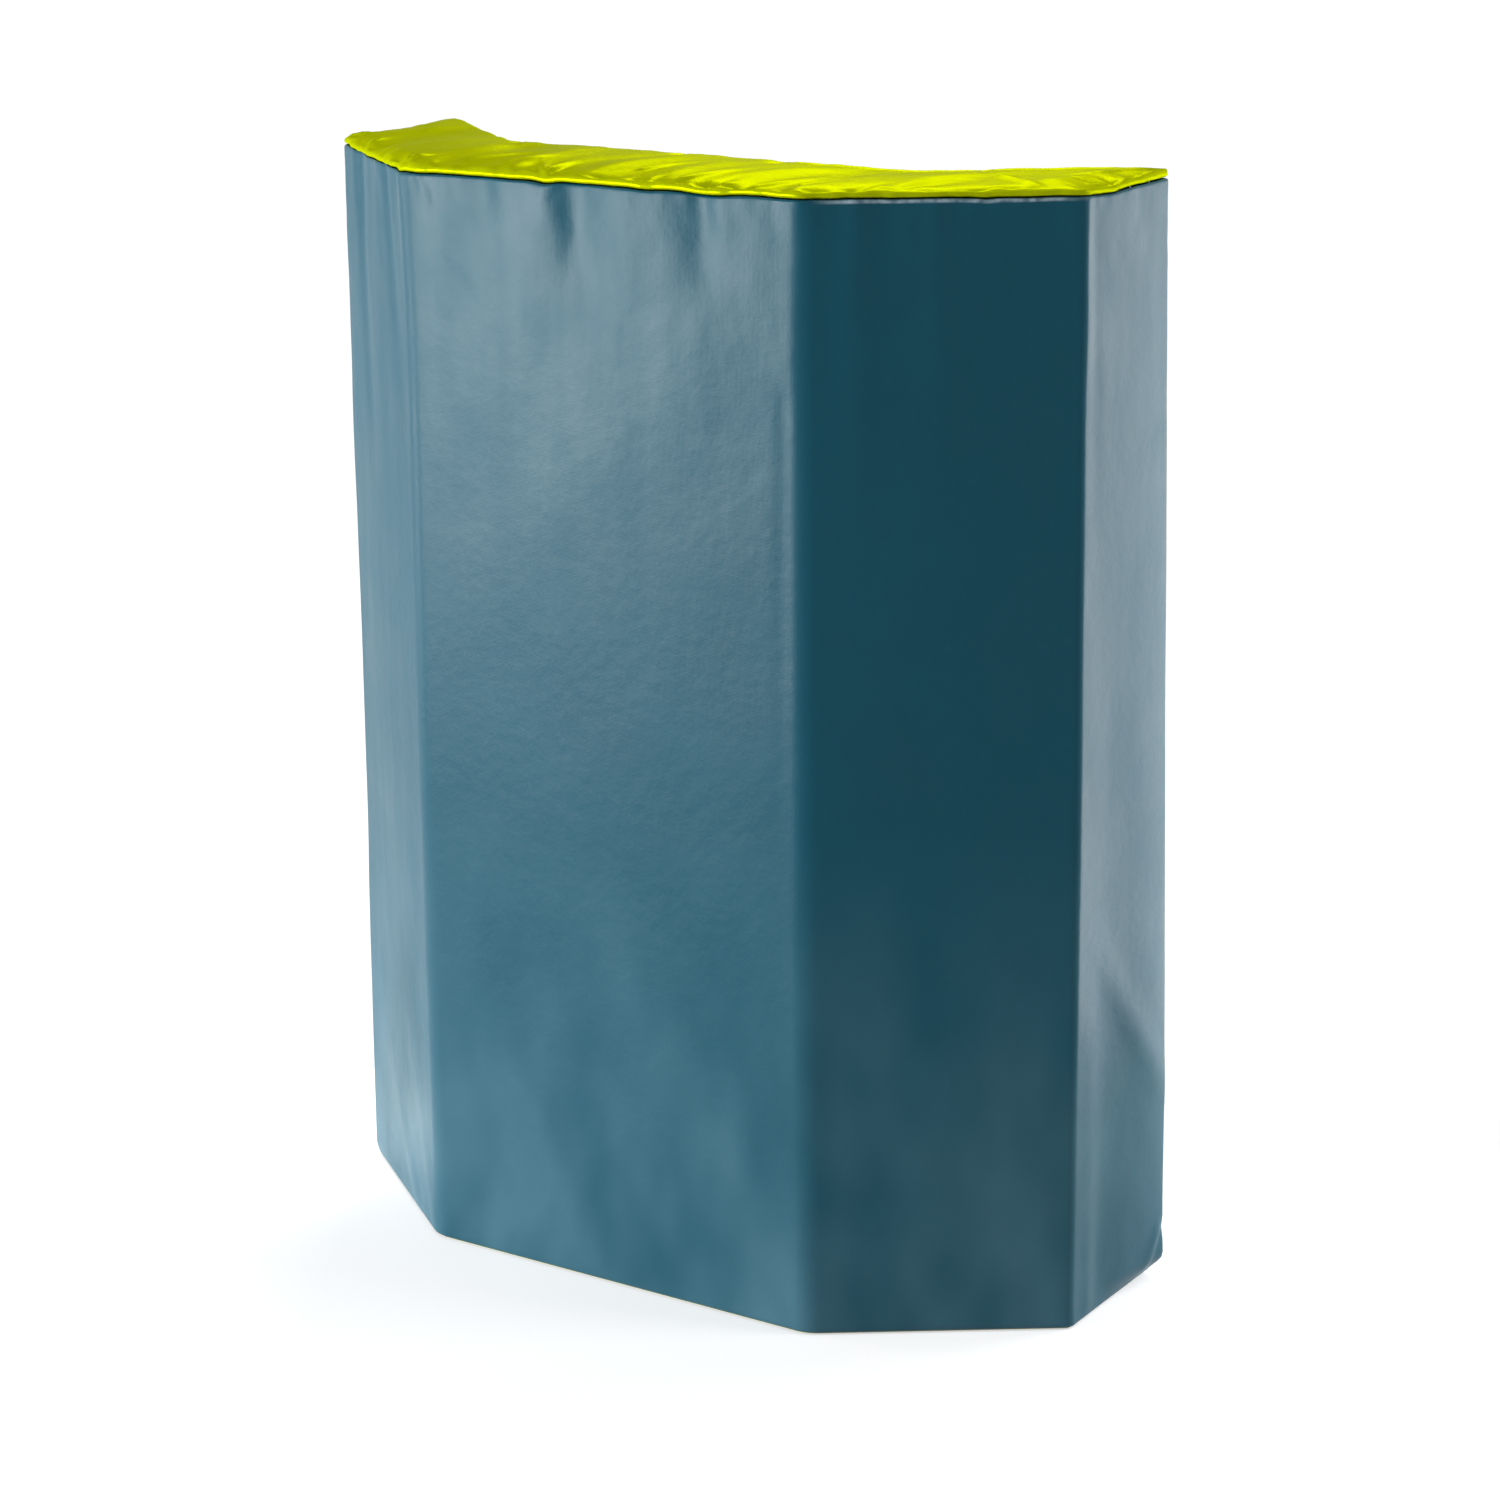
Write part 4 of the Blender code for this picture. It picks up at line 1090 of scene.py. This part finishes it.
def loft(name, rings, finish, body=SHIELD, closed=False):
    """A solid through a row of closed loops: capped at its ends, or closed as a ring."""
    rings = np.asarray(rings)
    count, around = rings.shape[:2]
    faces = grid_faces(count, around, closed, True)
    if not closed:
        faces.append(tuple(reversed(range(around))))
        faces.append(tuple((count - 1) * around + n for n in range(around)))
    piece = add_piece(name, rings.reshape(-1, 3), faces, finish, body)
    face_outwards(piece)
    return piece


def make_base_cover():
    """The flat base that the shield stands on, seated within the hem."""
    inset = HEM_RADIUS * (1 - cos(HEM_SWEEP)) + BASE_INSET
    rings = []
    for further, height in BASE_EDGE:
        points = closed_path(inset + further)[1]
        rings.append(np.column_stack([points, np.full(len(points), height)]))
    piece = loft("base_cover", rings, LIME)
    set_cloth_places(piece, np.concatenate(rings) * (1, 1, 0))
    keep_sharp(piece, radians(30))
    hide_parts("base_panel")


def on_centre(along, height):
    """A spot on the centre facet of the back."""
    return Spot(np.array([along, BACK_Y, height]), 0.0)


def on_flank(along, side, height):
    """A spot on a flank of the back, measured along it from the hollow's corner."""
    x, y = HOLLOW + along * heading(FLANK_TURN)
    return Spot(np.array([side * x, y, height]), side * FLANK_TURN)


def set_at(spot, points):
    """Points given across, off the back and up from a spot, as points of the shield."""
    across, off, up = np.moveaxis(np.asarray(points, float), -1, 0)
    x = across * cos(spot.turn) - off * sin(spot.turn)
    y = across * sin(spot.turn) + off * cos(spot.turn)
    return np.stack([x, y, up], -1) + spot.point


def stand_off(heights, bow):
    """How far a bowed strap's middle line stands off the back at heights from its centre."""
    share = (bow.half_span - np.abs(heights)) / (bow.half_span - bow.half_crest)
    return bow.lift + (bow.rise - bow.lift) * smoothstep(share)


def bow_line(heights, bow):
    """Points on a strap's middle line and the directions square to it."""
    off = stand_off(heights, bow)
    slope = (stand_off(heights + SLOPE_STEP, bow) - stand_off(heights - SLOPE_STEP, bow)) / (2 * SLOPE_STEP)
    nothing = np.zeros_like(heights)
    square = np.stack([nothing, np.ones_like(heights), -slope], -1)
    square /= np.linalg.norm(square, axis=1, keepdims=True)
    return np.stack([nothing, off, heights], -1), square


def rounded_loop(count, power):
    """A closed loop between a circle and a square, from -1 to 1 both ways."""
    angles = turns(count)
    loop = np.stack([np.cos(angles), np.sin(angles)], -1)
    return loop * ((np.abs(loop) ** power).sum(1, keepdims=True)) ** (-1 / power)


def section(point, square, half_width, half_depth, loop):
    """A loop set square to a strap's middle line."""
    across = np.array([1.0, 0.0, 0.0])
    return point + loop[:, :1] * half_width * across + loop[:, 1:] * half_depth * square


def make_strap(name, bow, wide, narrow, spot):
    """A webbing strap, flat on its patches at both ends and bowed out between them."""
    leg = np.linspace(bow.half_crest, bow.half_span, LEG_STEPS)
    tail = np.linspace(bow.half_span, bow.half_span + TAIL, TAIL_STEPS)[1:]
    crest = np.linspace(-bow.half_crest, bow.half_crest, LEG_STEPS)[1:-1]
    heights = np.concatenate([-tail[::-1], -leg[::-1], crest, leg, tail])
    points, squares = bow_line(heights, bow)
    share = (points[:, 1] - bow.lift) / (bow.rise - bow.lift)
    widths = (wide + (narrow - wide) * share) / 2
    loop = rounded_loop(STRAP_SIDES, WEBBING_POWER)
    rings, cloth = [], []
    for point, square, width, run in zip(points, squares, widths, runs(points)):
        rings.append(section(point, square, width, WEBBING / 2, loop))
        cloth.append(np.column_stack([loop[:, 0] * wide / 2, np.full(len(loop), run), loop[:, 1] * 0]))
    piece = loft(name + "_strap", set_at(spot, rings), BLACK_WEBBING, body=None)
    keep_sharp(piece, radians(70))
    set_cloth_places(piece, np.concatenate(cloth))
    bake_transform(piece)
    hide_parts(name + "_webbing")


def patch_rim(half_width, half_height, corner):
    """The rounded outline of a patch."""
    rim = []
    for quarter, (x, z) in enumerate(((1, 1), (-1, 1), (-1, -1), (1, -1))):
        for step in range(CORNER_STEPS + 1):
            out = heading(pi / 2 * (quarter + step / CORNER_STEPS)) * corner
            rim.append((x * (half_width - corner) + out[0], z * (half_height - corner) + out[1]))
    return np.array(rim)


def stitch_stops(line):
    """Middles and directions of even stitches along a line of points."""
    line = np.asarray(line, float)
    run = runs(line)
    count = max(1, int(round(run[-1] / STITCH_PITCH)))
    places = (np.arange(count) + 0.5) * run[-1] / count
    reach = STITCH_PITCH / 4
    along = between(places + reach, run, line) - between(places - reach, run, line)
    return between(places, run, line), along / np.linalg.norm(along, axis=1, keepdims=True)


def make_stitches(name, rows, finish):
    """Sewn stitches as one mesh.

    Each row is a line of points, its outward direction and whether the line closes.
    """
    angles = turns(THREAD_SIDES)
    last = THREAD_SIDES * (len(STITCH_PROFILE) - 1)
    shape = grid_faces(len(STITCH_PROFILE), THREAD_SIDES, False, True)
    shape.append(tuple(reversed(range(THREAD_SIDES))))
    shape.append(tuple(last + n for n in range(THREAD_SIDES)))
    points, faces = [], []
    for line, out, closes in rows:
        if closes:
            line = np.vstack([line, line[:1]])
        for middle, along in zip(*stitch_stops(line)):
            side = np.cross(along, out)
            faces += [tuple(len(points) + n for n in face) for face in shape]
            for share, girth in STITCH_PROFILE:
                sag = (1 - abs(share) * 2) * THREAD * 0.5
                centre = middle + along * share * STITCH_LENGTH + out * sag
                points += [centre + (side * cos(a) + out * sin(a)) * THREAD * girth for a in angles]
    piece = add_piece(name, points, faces, finish)
    face_outwards(piece)
    return piece


def make_patch(name, half_width, half_height, centre, spot):
    """A patch of the covers' cloth with a groove for its stitches."""
    rings, cloth = [], []
    for inset, off in PATCH_LEVELS:
        rim = patch_rim(half_width - inset, half_height - inset, max(PATCH_CORNER - inset, LEAST_CORNER))
        rings.append(set_at(spot, [(x, off, z + centre) for x, z in rim]))
        cloth.append(np.column_stack([rim, np.full(len(rim), off)]))
    piece = loft(name + "_vinyl_patch", rings, TEAL)
    keep_sharp(piece)
    set_cloth_places(piece, np.concatenate(cloth))
    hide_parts(name + "_patch")


def make_patches(name, width, bow, spot):
    """The two patches under a strap's sewn ends, with their stitches."""
    half_width, half_height = width / 2 + PATCH_MARGIN, TAIL / 2 + PATCH_MARGIN
    groove = STITCH_FROM_EDGE
    rim = patch_rim(half_width - groove, half_height - groove, PATCH_CORNER - groove)
    x, z = width / 2 - BOX_FROM_EDGE, TAIL / 2 - BOX_FROM_EDGE
    box = [(x, z), (-x, z), (-x, -z), (x, -z)]
    crossed_box = ((box, True), ((box[0], box[2]), False), ((box[1], box[3]), False))
    out = set_at(Spot(np.zeros(3), spot.turn), [(0, 1, 0)])[0]
    rows, box_rows = [], []
    for end, side in (("upper", 1), ("lower", -1)):
        centre = side * (bow.half_span + TAIL / 2)
        make_patch(name + "_" + end, half_width, half_height, centre, spot)
        off = GROOVE_FLOOR + THREAD / 2
        rows.append((set_at(spot, [(a, off, b + centre) for a, b in rim]), out, True))
        off = WEBBING_LIFT + WEBBING / 2 + THREAD / 4
        for line, closes in crossed_box:
            box_rows.append((set_at(spot, [(a, off, b + centre) for a, b in line]), out, closes))
    make_stitches(name + "_patch_stitches", rows, TEAL_THREAD)
    make_stitches(name + "_box_stitches", box_rows, BLACK_THREAD)


def sleeve_profile():
    """Radius and height up the outside of a grip's sleeve: collars at its ends and rings between."""
    half = GRIP_LENGTH / 2
    start = half - SLEEVE_COLLAR
    collar = [(GRIP_RADIUS - less, up - half) for less, up in COLLAR_EDGE]
    collar.append((GRIP_RADIUS, -start - SLEEVE_EDGE))
    rings = []
    count = int(round(2 * start / SLEEVE_RING))
    for ring in range(count):
        low = -start + 2 * start * ring / count
        for share, depth in RING_SHAPE:
            rings.append((GRIP_RADIUS - SLEEVE_GROOVE * depth, low + share * 2 * start / count))
    rings.append((GRIP_RADIUS - SLEEVE_GROOVE, start))
    return collar + rings + [(radius, -height) for radius, height in reversed(collar)]


def make_sleeve(label, spot, body):
    """A ringed rubber sleeve round a hand grip's webbing."""
    bore = sqrt((GRIP_FOLDED / 2) ** 2 + (WEBBING / 2) ** 2) + GAP
    half = GRIP_LENGTH / 2
    inner = [
        (bore + SLEEVE_EDGE, half),
        (bore, half - SLEEVE_EDGE),
        (bore, 0.0),
        (bore, SLEEVE_EDGE - half),
        (bore + SLEEVE_EDGE, -half),
    ]
    profile = np.array(sleeve_profile() + inner)
    rings = []
    for angle in turns(ROUND_SIDES):
        x, off = profile[:, 0] * cos(angle), GRIP_RISE + profile[:, 0] * sin(angle)
        rings.append(set_at(spot, np.column_stack([x, off, profile[:, 1]])))
    piece = loft(label + "_rubber_sleeve", rings, RUBBER, body, closed=True)
    keep_sharp(piece, radians(60))
    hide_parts(label + "_grip_sleeve")


def make_grips():
    """Two hand grips: webbing folded through a rubber sleeve that stands off the back."""
    crest = GRIP_LENGTH / 2 + GAP
    bow = Bow(crest + GRIP_LEG, crest, GRIP_RISE, WEBBING_LIFT)
    for side, label in SIDES:
        spot = on_centre(side * GRIP_SPACING / 2, FITTING_HEIGHT)
        name = label + "_grip"
        make_strap(name, bow, GRIP_WEBBING, GRIP_FOLDED, spot)
        make_patches(name, GRIP_WEBBING, bow, spot)
        make_sleeve(label, spot, name)


def pad_size(height):
    """An arm pad's width and depth at a height: full in its channels and less at its ends and seams."""
    to_end = (PAD_LENGTH / 2 - abs(height)) / PAD_EASE
    full = np.sqrt(1 - (1 - np.clip(to_end, 0, 1)) ** 2)
    channel = (height / PAD_LENGTH + 0.5) * PAD_CHANNELS
    seam = np.exp(-((channel - round(channel)) * PAD_LENGTH / PAD_CHANNELS / PAD_SEAM) ** 2)
    width = PAD_END_WIDTH + (PAD_WIDTH - PAD_END_WIDTH) * full * (1 - PAD_NARROWED * seam)
    puff = PAD_FLAT + PAD_PUFF * abs(sin(pi * channel)) ** 0.6
    depth = PAD_END_DEPTH + (PAD_DEPTH * puff - PAD_END_DEPTH) * full * (1 - PAD_FLATTENED * seam)
    return width, depth


def piping_tube(line, centre):
    """Loops round the points of a closed line that runs about a centre."""
    tube = []
    for n, point in enumerate(line):
        along = line[(n + 1) % len(line)] - line[n - 1]
        along /= np.linalg.norm(along)
        out = point - centre
        out -= along * (out @ along)
        out /= np.linalg.norm(out)
        side = np.cross(along, out)
        tube.append([point + (out * cos(a) + side * sin(a)) * PIPING for a in turns(PIPING_SIDES)])
    return tube


def make_arm_pad(label, bow, spot, body):
    """A padded sleeve on an arm band, quilted in channels across it and piped at both ends."""
    heights = np.linspace(-PAD_LENGTH / 2, PAD_LENGTH / 2, PAD_ROWS)
    points, squares = bow_line(heights, bow)
    outer_loop = rounded_loop(PAD_SIDES, PAD_POWER)
    slot_loop = rounded_loop(PAD_SIDES, SLOT_POWER)
    outer, slot = [], []
    for point, square, height in zip(points, squares, heights):
        width, depth = pad_size(height)
        outer.append(section(point, square, width / 2, depth / 2, outer_loop))
        slot.append(section(point, square, BAND_WEBBING / 2 + GAP, WEBBING / 2 + GAP, slot_loop))
    rings = np.array(outer + slot[::-1])
    ripple = waves(rings[..., 0], rings[..., 2], PAD_RIPPLE)
    ripple[len(outer):] = 0
    rings[..., 1] += ripple
    piece = loft(label + "_padded_sleeve", set_at(spot, rings), PAD_CLOTH, body, closed=True)
    cloth = np.stack([rings[..., 0], rings[..., 2], rings[..., 1] * 0], -1)
    set_cloth_places(piece, cloth.reshape(-1, 3))
    keep_sharp(piece, radians(75))
    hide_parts(label + "_arm_pad")
    for end, number in (("lower", 0), ("upper", -1)):
        point, square = points[number], squares[number]
        line = section(point, square, PAD_END_WIDTH / 2 - PIPING / 2, PAD_END_DEPTH / 2, outer_loop)
        tube = piping_tube(line, point)
        name = label + "_pad_" + end + "_piping"
        piping = loft(name, set_at(spot, tube), BLACK_WEBBING, body, closed=True)
        set_cloth_places(piping, np.array(tube).reshape(-1, 3) * (1, 0, 1))


def make_arm_bands():
    """Two arm bands: webbing bowed out over the forearm, through a padded sleeve.
    """
    bow = Bow(BAND_CREST + BAND_LEG, BAND_CREST, BAND_RISE, WEBBING_LIFT)
    for side, label in SIDES:
        spot = on_flank(BAND_FROM_HOLLOW, side, FITTING_HEIGHT)
        name = label + "_band"
        body = label + "_arm_band"
        make_strap(name, bow, BAND_WEBBING, BAND_WEBBING, spot)
        make_patches(name, BAND_WEBBING, bow, spot)
        make_arm_pad(label, bow, spot, body)


def make_eyelets(back):
    """Four plated eyelets in the back cover."""
    profile = [
        (VENT_BORE, -COVER), (VENT_BARREL, -COVER), (VENT_BARREL, GAP), (VENT_FLANGE, GAP),
        (VENT_FLANGE + 0.0001, 0.0005), (VENT_FLANGE - 0.0002, 0.0009), (VENT_FLANGE - 0.0008, 0.0012),
        (VENT_FLANGE - 0.0017, 0.0014), (VENT_BARREL + 0.0004, 0.0015), (VENT_BORE + 0.0003, 0.0013),
        (VENT_BORE, 0.0008),
    ]
    cutters = bmesh.new()
    for number in range(1, 5):
        node = "vent_eyelet_" + str(number)
        low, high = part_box(node)
        spot = on_centre((low.x + high.x) / 2, (low.z + high.z) / 2)
        rings = []
        for angle in turns(ROUND_SIDES):
            rings.append(set_at(spot, [(r * cos(angle), off, r * sin(angle)) for r, off in profile]))
        piece = loft("eyelet_" + str(number), rings, NICKEL, closed=True)
        keep_sharp(piece)
        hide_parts(node)
        across = Matrix.Translation(spot.point) @ Matrix.Rotation(pi / 2, 4, "X")
        bmesh.ops.create_cone(
            cutters, cap_ends=True, segments=HOLE_SIDES, radius1=VENT_BARREL + GAP,
            radius2=VENT_BARREL + GAP, depth=20 * COVER, matrix=across,
        )
    data = bpy.data.meshes.new("vent_holes")
    cutters.to_mesh(data)
    cutters.free()
    holes = place_object("vent_holes", data)
    cut = back.modifiers.new("vent_holes", "BOOLEAN")
    cut.operation = "DIFFERENCE"
    cut.object = holes
    vented = back.evaluated_get(bpy.context.evaluated_depsgraph_get())
    back.data = bpy.data.meshes.new_from_object(vented)
    back.modifiers.clear()
    bpy.data.objects.remove(holes)


def rounded_copy(name, node, finish, width, body=SHIELD, shrink=0.0):
    """A CAD solid with its edges rounded."""
    mesh = bmesh.new()
    mesh.from_mesh(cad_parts[node].data)
    bmesh.ops.remove_doubles(mesh, verts=mesh.verts, dist=SAME_POINT)
    bmesh.ops.dissolve_limit(mesh, angle_limit=radians(1), verts=mesh.verts, edges=mesh.edges)
    bmesh.ops.recalc_face_normals(mesh, faces=mesh.faces)
    data = bpy.data.meshes.new(name)
    mesh.to_mesh(data)
    mesh.free()
    piece = dress_mesh(name, data, finish, body)
    keep_sharp(piece, radians(35))
    if shrink:
        inset = piece.modifiers.new("inset", "DISPLACE")
        inset.strength = -shrink
        inset.mid_level = 0.0
    edges = piece.modifiers.new("edges", "BEVEL")
    edges.width = width
    edges.segments = 3
    edges.limit_method = "ANGLE"
    edges.harden_normals = True
    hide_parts(node)
    return piece


def make_foam():
    """The six foam blocks inside the covers, pressed down a little under the top panel."""
    for part in FOAM_PARTS:
        for layer, finish in (("impact", SOFT_FOAM), ("backing", FIRM_FOAM)):
            slot = layer + "_foam"
            name = slot + "_block_" + part
            block = rounded_copy(name, slot + "_" + part, finish, FOAM_EDGE, shrink=FOAM_INSET)
            for corner in block.data.vertices:
                corner.co.z = min(corner.co.z, FOAM_TOP)


def zip_tooth():
    """The points and faces of one zip tooth."""
    tooth = bmesh.new()
    size = Matrix.Diagonal((TOOTH_REACH, CHAIN_DEPTH - CHAIN_LIFT, TOOTH_WIDTH, 1.0))
    bmesh.ops.create_cube(tooth, size=1.0, matrix=size)
    bmesh.ops.bevel(tooth, geom=tooth.edges[:], offset=TOOTH_EDGE, segments=2, affect="EDGES", profile=0.5)
    tooth.verts.index_update()
    points = np.array([v.co for v in tooth.verts])
    faces = [[v.index for v in face.verts] for face in tooth.faces]
    tooth.free()
    return points, faces


def make_zip_teeth():
    """The zip's teeth, from its two sides in turn, as one mesh."""
    low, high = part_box("zip_chain")
    spot = Spot(np.array([*(REAR - ZIP_FROM_REAR * heading(FLANK_TURN)), 0.0]), FLANK_TURN)
    shape, shape_faces = zip_tooth()
    points, faces = [], []
    count = int((high.z - low.z - TOOTH_WIDTH) / TOOTH_PITCH)
    for n in range(count + 1):
        side = 1 if n % 2 else -1
        up = low.z + TOOTH_WIDTH / 2 + n * TOOTH_PITCH
        faces += [tuple(n * len(shape) + v for v in face) for face in shape_faces]
        points.append(set_at(spot, shape + (side * TOOTH_OFF_MIDDLE, CHAIN_LIFT + CHAIN_DEPTH / 2, up)))
    teeth = add_piece("zip_teeth", np.concatenate(points), faces, ACETAL)
    keep_sharp(teeth, radians(35))
    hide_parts("zip_chain")


def make_zip_fittings():
    """The zip's end stops, slider and pull."""
    for name, node, body in (
        ("zip_top_end_stop", "zip_top_stop", SHIELD),
        ("zip_bottom_end_stop", "zip_bottom_stop", SHIELD),
        ("zip_slider_body", "zip_slider", "zip_slider"),
        ("zip_pull_tab", "zip_pull", "zip_pull"),
    ):
        rounded_copy(name, node, NICKEL, FITTING_EDGE, body)


def make_zip_stitches():
    """The two rows of stitches beside the zip."""
    rows = []
    out = np.array([*along_path(np.array([ZIP_PLACE]))[1][0], 0.0])
    heights = np.arange(ZIP_SEWN_FROM, SEAM_HEIGHT - ZIP_SEWN_STEP, ZIP_SEWN_STEP)
    for place in (NEAR_PLACE - STITCH_FROM_EDGE, FAR_PLACE + STITCH_FROM_EDGE):
        (point,), _ = along_path(np.array([place]))
        line = [(*(point + out[:2] * THREAD), height) for height in heights]
        rows.append((line, out, False))
    make_stitches("zip_stitches", rows, TEAL_THREAD)


def plain_material(name):
    """An empty material and its node tree."""
    material = bpy.data.materials.new(name)
    material.use_nodes = True
    material.node_tree.nodes.clear()
    return material, material.node_tree


def shown_share(tree):
    """1 for the rays that show the background, straight, mirrored or through glass, and 0 for the rest."""
    seen = add_node(tree, "LightPath", {}).outputs
    shown = calculate(tree, "MAXIMUM", seen["Is Camera Ray"], seen["Is Glossy Ray"])
    return calculate(tree, "MAXIMUM", shown, seen["Is Transmission Ray"])


def make_floor():
    """A plain pale floor that glows more far away than near."""
    bpy.ops.mesh.primitive_plane_add(size=FLOOR_SIZE)
    floor = bpy.context.object
    floor.name = "floor"
    material, tree = plain_material("pale_floor")
    far = add_node(tree, "VectorMath", {0: solid_place(tree)}, operation="LENGTH").outputs["Value"]
    glow = level_between(tree, far, FLOOR_GLOW_NEAR, FLOOR_GLOW_FAR, GLOW_START, GLOW_END)
    emission = add_node(tree, "Emission", {"Color": WHITE, "Strength": glow})
    bright = add_node(tree, "BsdfDiffuse", {"Color": (0.70, 0.70, 0.70)})
    pale = add_node(tree, "BsdfDiffuse", {"Color": (0.40, 0.40, 0.40)})
    both = add_node(tree, "AddShader", [bright.outputs[0], emission.outputs[0]])
    surface = add_node(tree, "MixShader", [shown_share(tree), pale.outputs[0], both.outputs[0]])
    add_node(tree, "OutputMaterial", {"Surface": surface.outputs[0]})
    floor.data.materials.append(material)


def make_world():
    """A pale world that shows white behind the shield."""
    world = bpy.data.worlds.new("studio")
    world.use_nodes = True
    bpy.context.scene.world = world
    tree = world.node_tree
    tree.nodes.clear()
    ambient = add_node(tree, "Background", {"Color": (0.94, 0.97, 1.0), "Strength": AMBIENT})
    white = add_node(tree, "Background", {"Color": WHITE, "Strength": 1.0})
    mixed = add_node(tree, "MixShader", [shown_share(tree), ambient.outputs[0], white.outputs[0]])
    add_node(tree, "OutputWorld", {"Surface": mixed.outputs[0]})


def make_lights():
    """Softboxes round the shield, each with its place, the point that it faces and its size."""
    boxes = [
        Softbox("key", (-1.58, -2.06, 0.53), LIT_POINT, 0.95, 0.92, 74),
        Softbox("ridge", (-2.05, -0.72, 0.42), (-0.16, -0.10, 0.42), 0.40, 0.75, 9.5),
        Softbox("rear", (0.48, 0.40, 0.39), (0.29, 0.04, 0.39), 0.28, 0.72, 2.45),
        Softbox("right", (2.20, 0.90, 1.50), LIT_POINT, 1.00, 1.00, 24),
        Softbox("back", (-0.95, 1.72, 1.75), (0.10, -0.05, 0.75), 0.70, 0.80, 13),
        Softbox("overhead", (-0.20, -0.20, 2.60), LIT_POINT, 1.60, 1.60, 7),
        Softbox("floor_left", (-0.40, -0.01, 0.36), (-0.40, -0.01, 0.0), 0.16, 0.16, 0.20, GRID_SPREAD),
    ]
    for box in boxes:
        lamp = bpy.data.lights.new(box.name, "AREA")
        lamp.shape = "RECTANGLE"
        lamp.size = box.width
        lamp.size_y = box.height
        lamp.energy = box.watts
        lamp.spread = box.spread
        light = place_object(box.name, lamp)
        light.location = box.place
        towards = Vector(box.faces) - light.location
        light.rotation_euler = towards.to_track_quat("-Z", "Y").to_euler()
        light.visible_camera = False


def make_camera():
    """The photograph's camera."""
    camera = place_object("camera", bpy.data.cameras.new("camera"))
    camera.data.lens = LENS
    camera.data.sensor_width = SENSOR
    camera.location = CAMERA_PLACE
    turn = Matrix.Rotation(CAMERA_YAW, 3, "Z") @ Matrix.Rotation(pi / 2 + CAMERA_PITCH, 3, "X")
    camera.rotation_euler = (turn @ Matrix.Rotation(CAMERA_ROLL, 3, "Z")).to_euler()
    bpy.context.scene.camera = camera
    bpy.context.scene.view_settings.view_transform = "Standard"


back_cover = make_side_covers()
make_top_cover()
make_base_cover()
make_foam()
make_zip_teeth()
make_zip_fittings()
make_zip_stitches()
make_grips()
make_arm_bands()
make_eyelets(back_cover)
make_floor()
make_world()
make_lights()
make_camera()
